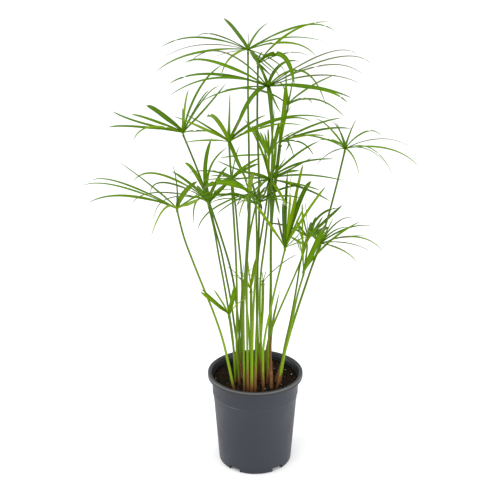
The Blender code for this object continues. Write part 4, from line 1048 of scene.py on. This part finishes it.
def build_umbel(number, settings, material):
    """Builds an umbel: its bracts and the small knob they grow from.

    A bract is a folded section carried along its middle line, which is the chord from hub to tip plus
    4 s (1 - s) times the bow, moved out a little at the hub. The fold is 31 degrees at the hub and opens to
    7, and the blade is half as thick at the tip. The dry mark is the tip's or a grey bract's, if more."""
    hub, tips, widths, bows = read_umbel(number)
    count = len(tips)
    random = np.random.default_rng(300 + number)
    tone, grey = bract_tones(number, tips, random)
    even = np.linspace(0.0, 1.0, settings.rows + 1)
    along_share = 0.6 * even + 0.4 * (0.5 - 0.5 * np.cos(math.pi * even))
    chord = tips - hub
    ratio = widths / np.linalg.norm(chord, axis=1)
    level = unit(chord[:, :2])
    s = along_share[None, :, None]
    line = hub + s * chord[:, None] + 4 * s * (1 - s) * bows[:, None]
    line[..., :2] += (level * BRACT_START)[:, None] * (1 - s) ** 10
    shown = shown_shares(number, settings, ratio, grey, random)
    view = np.array(bpy.context.scene.papyrus_studio.eye) - hub
    side, up = bract_sides(line, level, view, shown, along_share)
    share = along_share[:-1]
    half = half_widths(number, settings, widths, ratio, grey, share[None])[..., None]
    fold = np.radians(31 - 24 * smoothstep(0.0, 0.4, share))[None, :, None]
    blade = settings.thickness * (1 - 0.5 * share)[None, :, None]
    offset = SECTION * half * np.cos(fold)
    lift = np.abs(SECTION) * half * np.sin(fold) - LOWER * blade
    rings = line[:, :-1, None] + side[:, :-1, None] * offset[..., None] + up[:, :-1, None] * lift[..., None]
    points = np.concatenate([rings.reshape(count, -1, 3), line[:, -1:]], axis=1)
    tipped = np.append(np.repeat(smoothstep(0.80, 1.0, share), len(SECTION)), 1.0)[None]
    greyed = np.append(np.repeat(0.35 + 0.65 * smoothstep(0.1, 0.5, share), len(SECTION)), 1.0)[None]
    dry = np.maximum(tipped * random.choice([0.3, 0.6, 0.9], count)[:, None], grey[:, None] * greyed)
    faces, uvs = blade_faces(settings.rows)
    start = (np.arange(count) * points.shape[1])[:, None, None]
    shape = Shape()
    shape.add(points, [(group[None] + start).reshape(-1, group.shape[1]) for group in faces],
              [np.tile(uv, (count, 1, 1)) for uv in uvs],
              tone=np.repeat(tone, points.shape[1]), dry=dry.ravel())
    points, faces, uvs = capped(turned(KNOB, KNOB_SIDES) + hub)
    shape.add(points, faces, uvs, tone=0.1, dry=0.0)
    piece = shape.make(f"bracts_{number:02d}", material, BRACT_CREASE)
    place_piece(piece, "bract", f"umbel_{number:02d}")


def soft_light(name, place, target, size, power):
    """Makes a square area light at a place that shines at a target."""
    data = bpy.data.lights.new(name, "AREA")
    data.shape = "SQUARE"
    data.size = size
    data.energy = power
    light = bpy.data.objects.new(name, data)
    bpy.context.scene.collection.objects.link(light)
    way = np.array(target) - np.array(place)
    light.location = place
    light.rotation_euler = (math.acos(-way[2] / np.linalg.norm(way)), 0.0,
                            math.atan2(way[1], way[0]) - math.pi / 2)


def build_studio(settings):
    """Builds the white surroundings, the floor, three soft lights and the camera."""
    scene = bpy.context.scene
    world = bpy.data.worlds.new("studio")
    world.use_nodes = True
    background = world.node_tree.nodes["Background"]
    background.inputs["Color"].default_value = (1.0, 1.0, 1.0, 1.0)
    background.inputs["Strength"].default_value = settings.world
    scene.world = world
    scene.view_settings.view_transform = "Standard"
    reach = 30.0
    shape = Shape()
    shape.add([(-reach, -reach, 0.0), (reach, -reach, 0.0), (reach, reach, 0.0), (-reach, reach, 0.0)],
              [np.array([[0, 1, 2, 3]])])
    floor = shape.make("studio_floor", pale_floor(settings))
    soft_light("key", (-0.8, -1.2, 2.5), (0.0, 0.0, 0.35), 1.4, settings.key)
    soft_light("right", (1.9, -1.0, 0.6), (0.0, 0.0, 0.25), 1.0, settings.side)
    soft_light("left", (-2.1, 0.1, 0.6), (0.0, 0.0, 0.25), 0.8, 0.6 * settings.side)
    data = bpy.data.cameras.new("photo_camera")
    data.sensor_width = SENSOR
    data.lens = settings.lens
    data.clip_end = 200.0
    camera = bpy.data.objects.new("photo_camera", data)
    camera.location = settings.eye
    camera.rotation_euler = (math.pi / 2 - settings.pitch, 0.0, 0.0)
    scene.collection.objects.link(camera)
    scene.camera = camera


# Operators and panel

class PAPYRUS_OT_pot(bpy.types.Operator):
    """Build the nursery pot with its drain notches"""
    bl_idname = "papyrus.pot"
    bl_label = "Pot"

    def execute(self, context):
        build_pot(context.scene.papyrus_pot)
        return {"FINISHED"}


class PAPYRUS_OT_mix(bpy.types.Operator):
    """Build the potting mix and the loose bits on it"""
    bl_idname = "papyrus.mix"
    bl_label = "Potting mix"

    def execute(self, context):
        build_mix(context.scene.papyrus_mix)
        build_crumbs(context.scene.papyrus_mix)
        return {"FINISHED"}


class PAPYRUS_OT_culms(bpy.types.Operator):
    """Build the culms and the young shoot"""
    bl_idname = "papyrus.culms"
    bl_label = "Culms"

    def execute(self, context):
        settings = context.scene.papyrus_culm
        material = culm_skin(settings)
        for number in FEET:
            build_culm(number, settings, material)
        build_shoot(settings, material)
        return {"FINISHED"}


class PAPYRUS_OT_sheaths(bpy.types.Operator):
    """Build the dry sheaths round some of the feet"""
    bl_idname = "papyrus.sheaths"
    bl_label = "Dry sheaths"

    def execute(self, context):
        settings = context.scene.papyrus_culm
        material = dry_skin(settings)
        for node, number in SHEATHED.items():
            build_sheath(node, number, settings, material)
        return {"FINISHED"}


class PAPYRUS_OT_umbels(bpy.types.Operator):
    """Build the umbels of bracts"""
    bl_idname = "papyrus.umbels"
    bl_label = "Umbels"

    def execute(self, context):
        settings = context.scene.papyrus_umbel
        material = bract_skin(settings)
        for number in FEET:
            build_umbel(number, settings, material)
        return {"FINISHED"}


class PAPYRUS_OT_studio(bpy.types.Operator):
    """Build the plain floor, the soft lights and the camera"""
    bl_idname = "papyrus.studio"
    bl_label = "Studio"

    def execute(self, context):
        build_studio(context.scene.papyrus_studio)
        return {"FINISHED"}


class PAPYRUS_PT_panel(bpy.types.Panel):
    """The pieces of the plant, and the sizes and colours they take"""
    bl_idname = "PAPYRUS_PT_panel"
    bl_label = "Potted papyrus"
    bl_space_type = "VIEW_3D"
    bl_region_type = "UI"
    bl_category = "Papyrus"

    def draw(self, context):
        for name, operators in PANEL_ROWS:
            box = self.layout.box()
            group = getattr(context.scene, name)
            for prop in group.bl_rna.properties:
                if prop.identifier not in ("rna_type", "name"):
                    box.prop(group, prop.identifier)
            for operator in operators:
                box.operator(operator)


SETTINGS = {"papyrus_pot": PotSettings, "papyrus_mix": MixSettings, "papyrus_culm": CulmSettings,
            "papyrus_umbel": UmbelSettings, "papyrus_studio": StudioSettings}
OPERATORS = (PAPYRUS_OT_pot, PAPYRUS_OT_mix, PAPYRUS_OT_culms, PAPYRUS_OT_sheaths, PAPYRUS_OT_umbels,
             PAPYRUS_OT_studio)
PANEL_ROWS = (("papyrus_pot", ("papyrus.pot",)), ("papyrus_mix", ("papyrus.mix",)),
              ("papyrus_culm", ("papyrus.culms", "papyrus.sheaths")), ("papyrus_umbel", ("papyrus.umbels",)),
              ("papyrus_studio", ("papyrus.studio",)))


def register():
    """Registers the settings, operators and panel."""
    for name, group in SETTINGS.items():
        bpy.utils.register_class(group)
        setattr(bpy.types.Scene, name, PointerProperty(type=group))
    for operator in OPERATORS:
        bpy.utils.register_class(operator)
    bpy.utils.register_class(PAPYRUS_PT_panel)


def unregister():
    """Takes the panel, operators and settings out again."""
    bpy.utils.unregister_class(PAPYRUS_PT_panel)
    for operator in reversed(OPERATORS):
        bpy.utils.unregister_class(operator)
    for name, group in reversed(SETTINGS.items()):
        delattr(bpy.types.Scene, name)
        bpy.utils.unregister_class(group)


def main():
    """Builds every piece in order."""
    register()
    bpy.ops.papyrus.pot()
    bpy.ops.papyrus.mix()
    bpy.ops.papyrus.culms()
    bpy.ops.papyrus.sheaths()
    bpy.ops.papyrus.umbels()
    bpy.ops.papyrus.studio()
    bpy.context.view_layer.update()


if __name__ == "__main__":
    main()
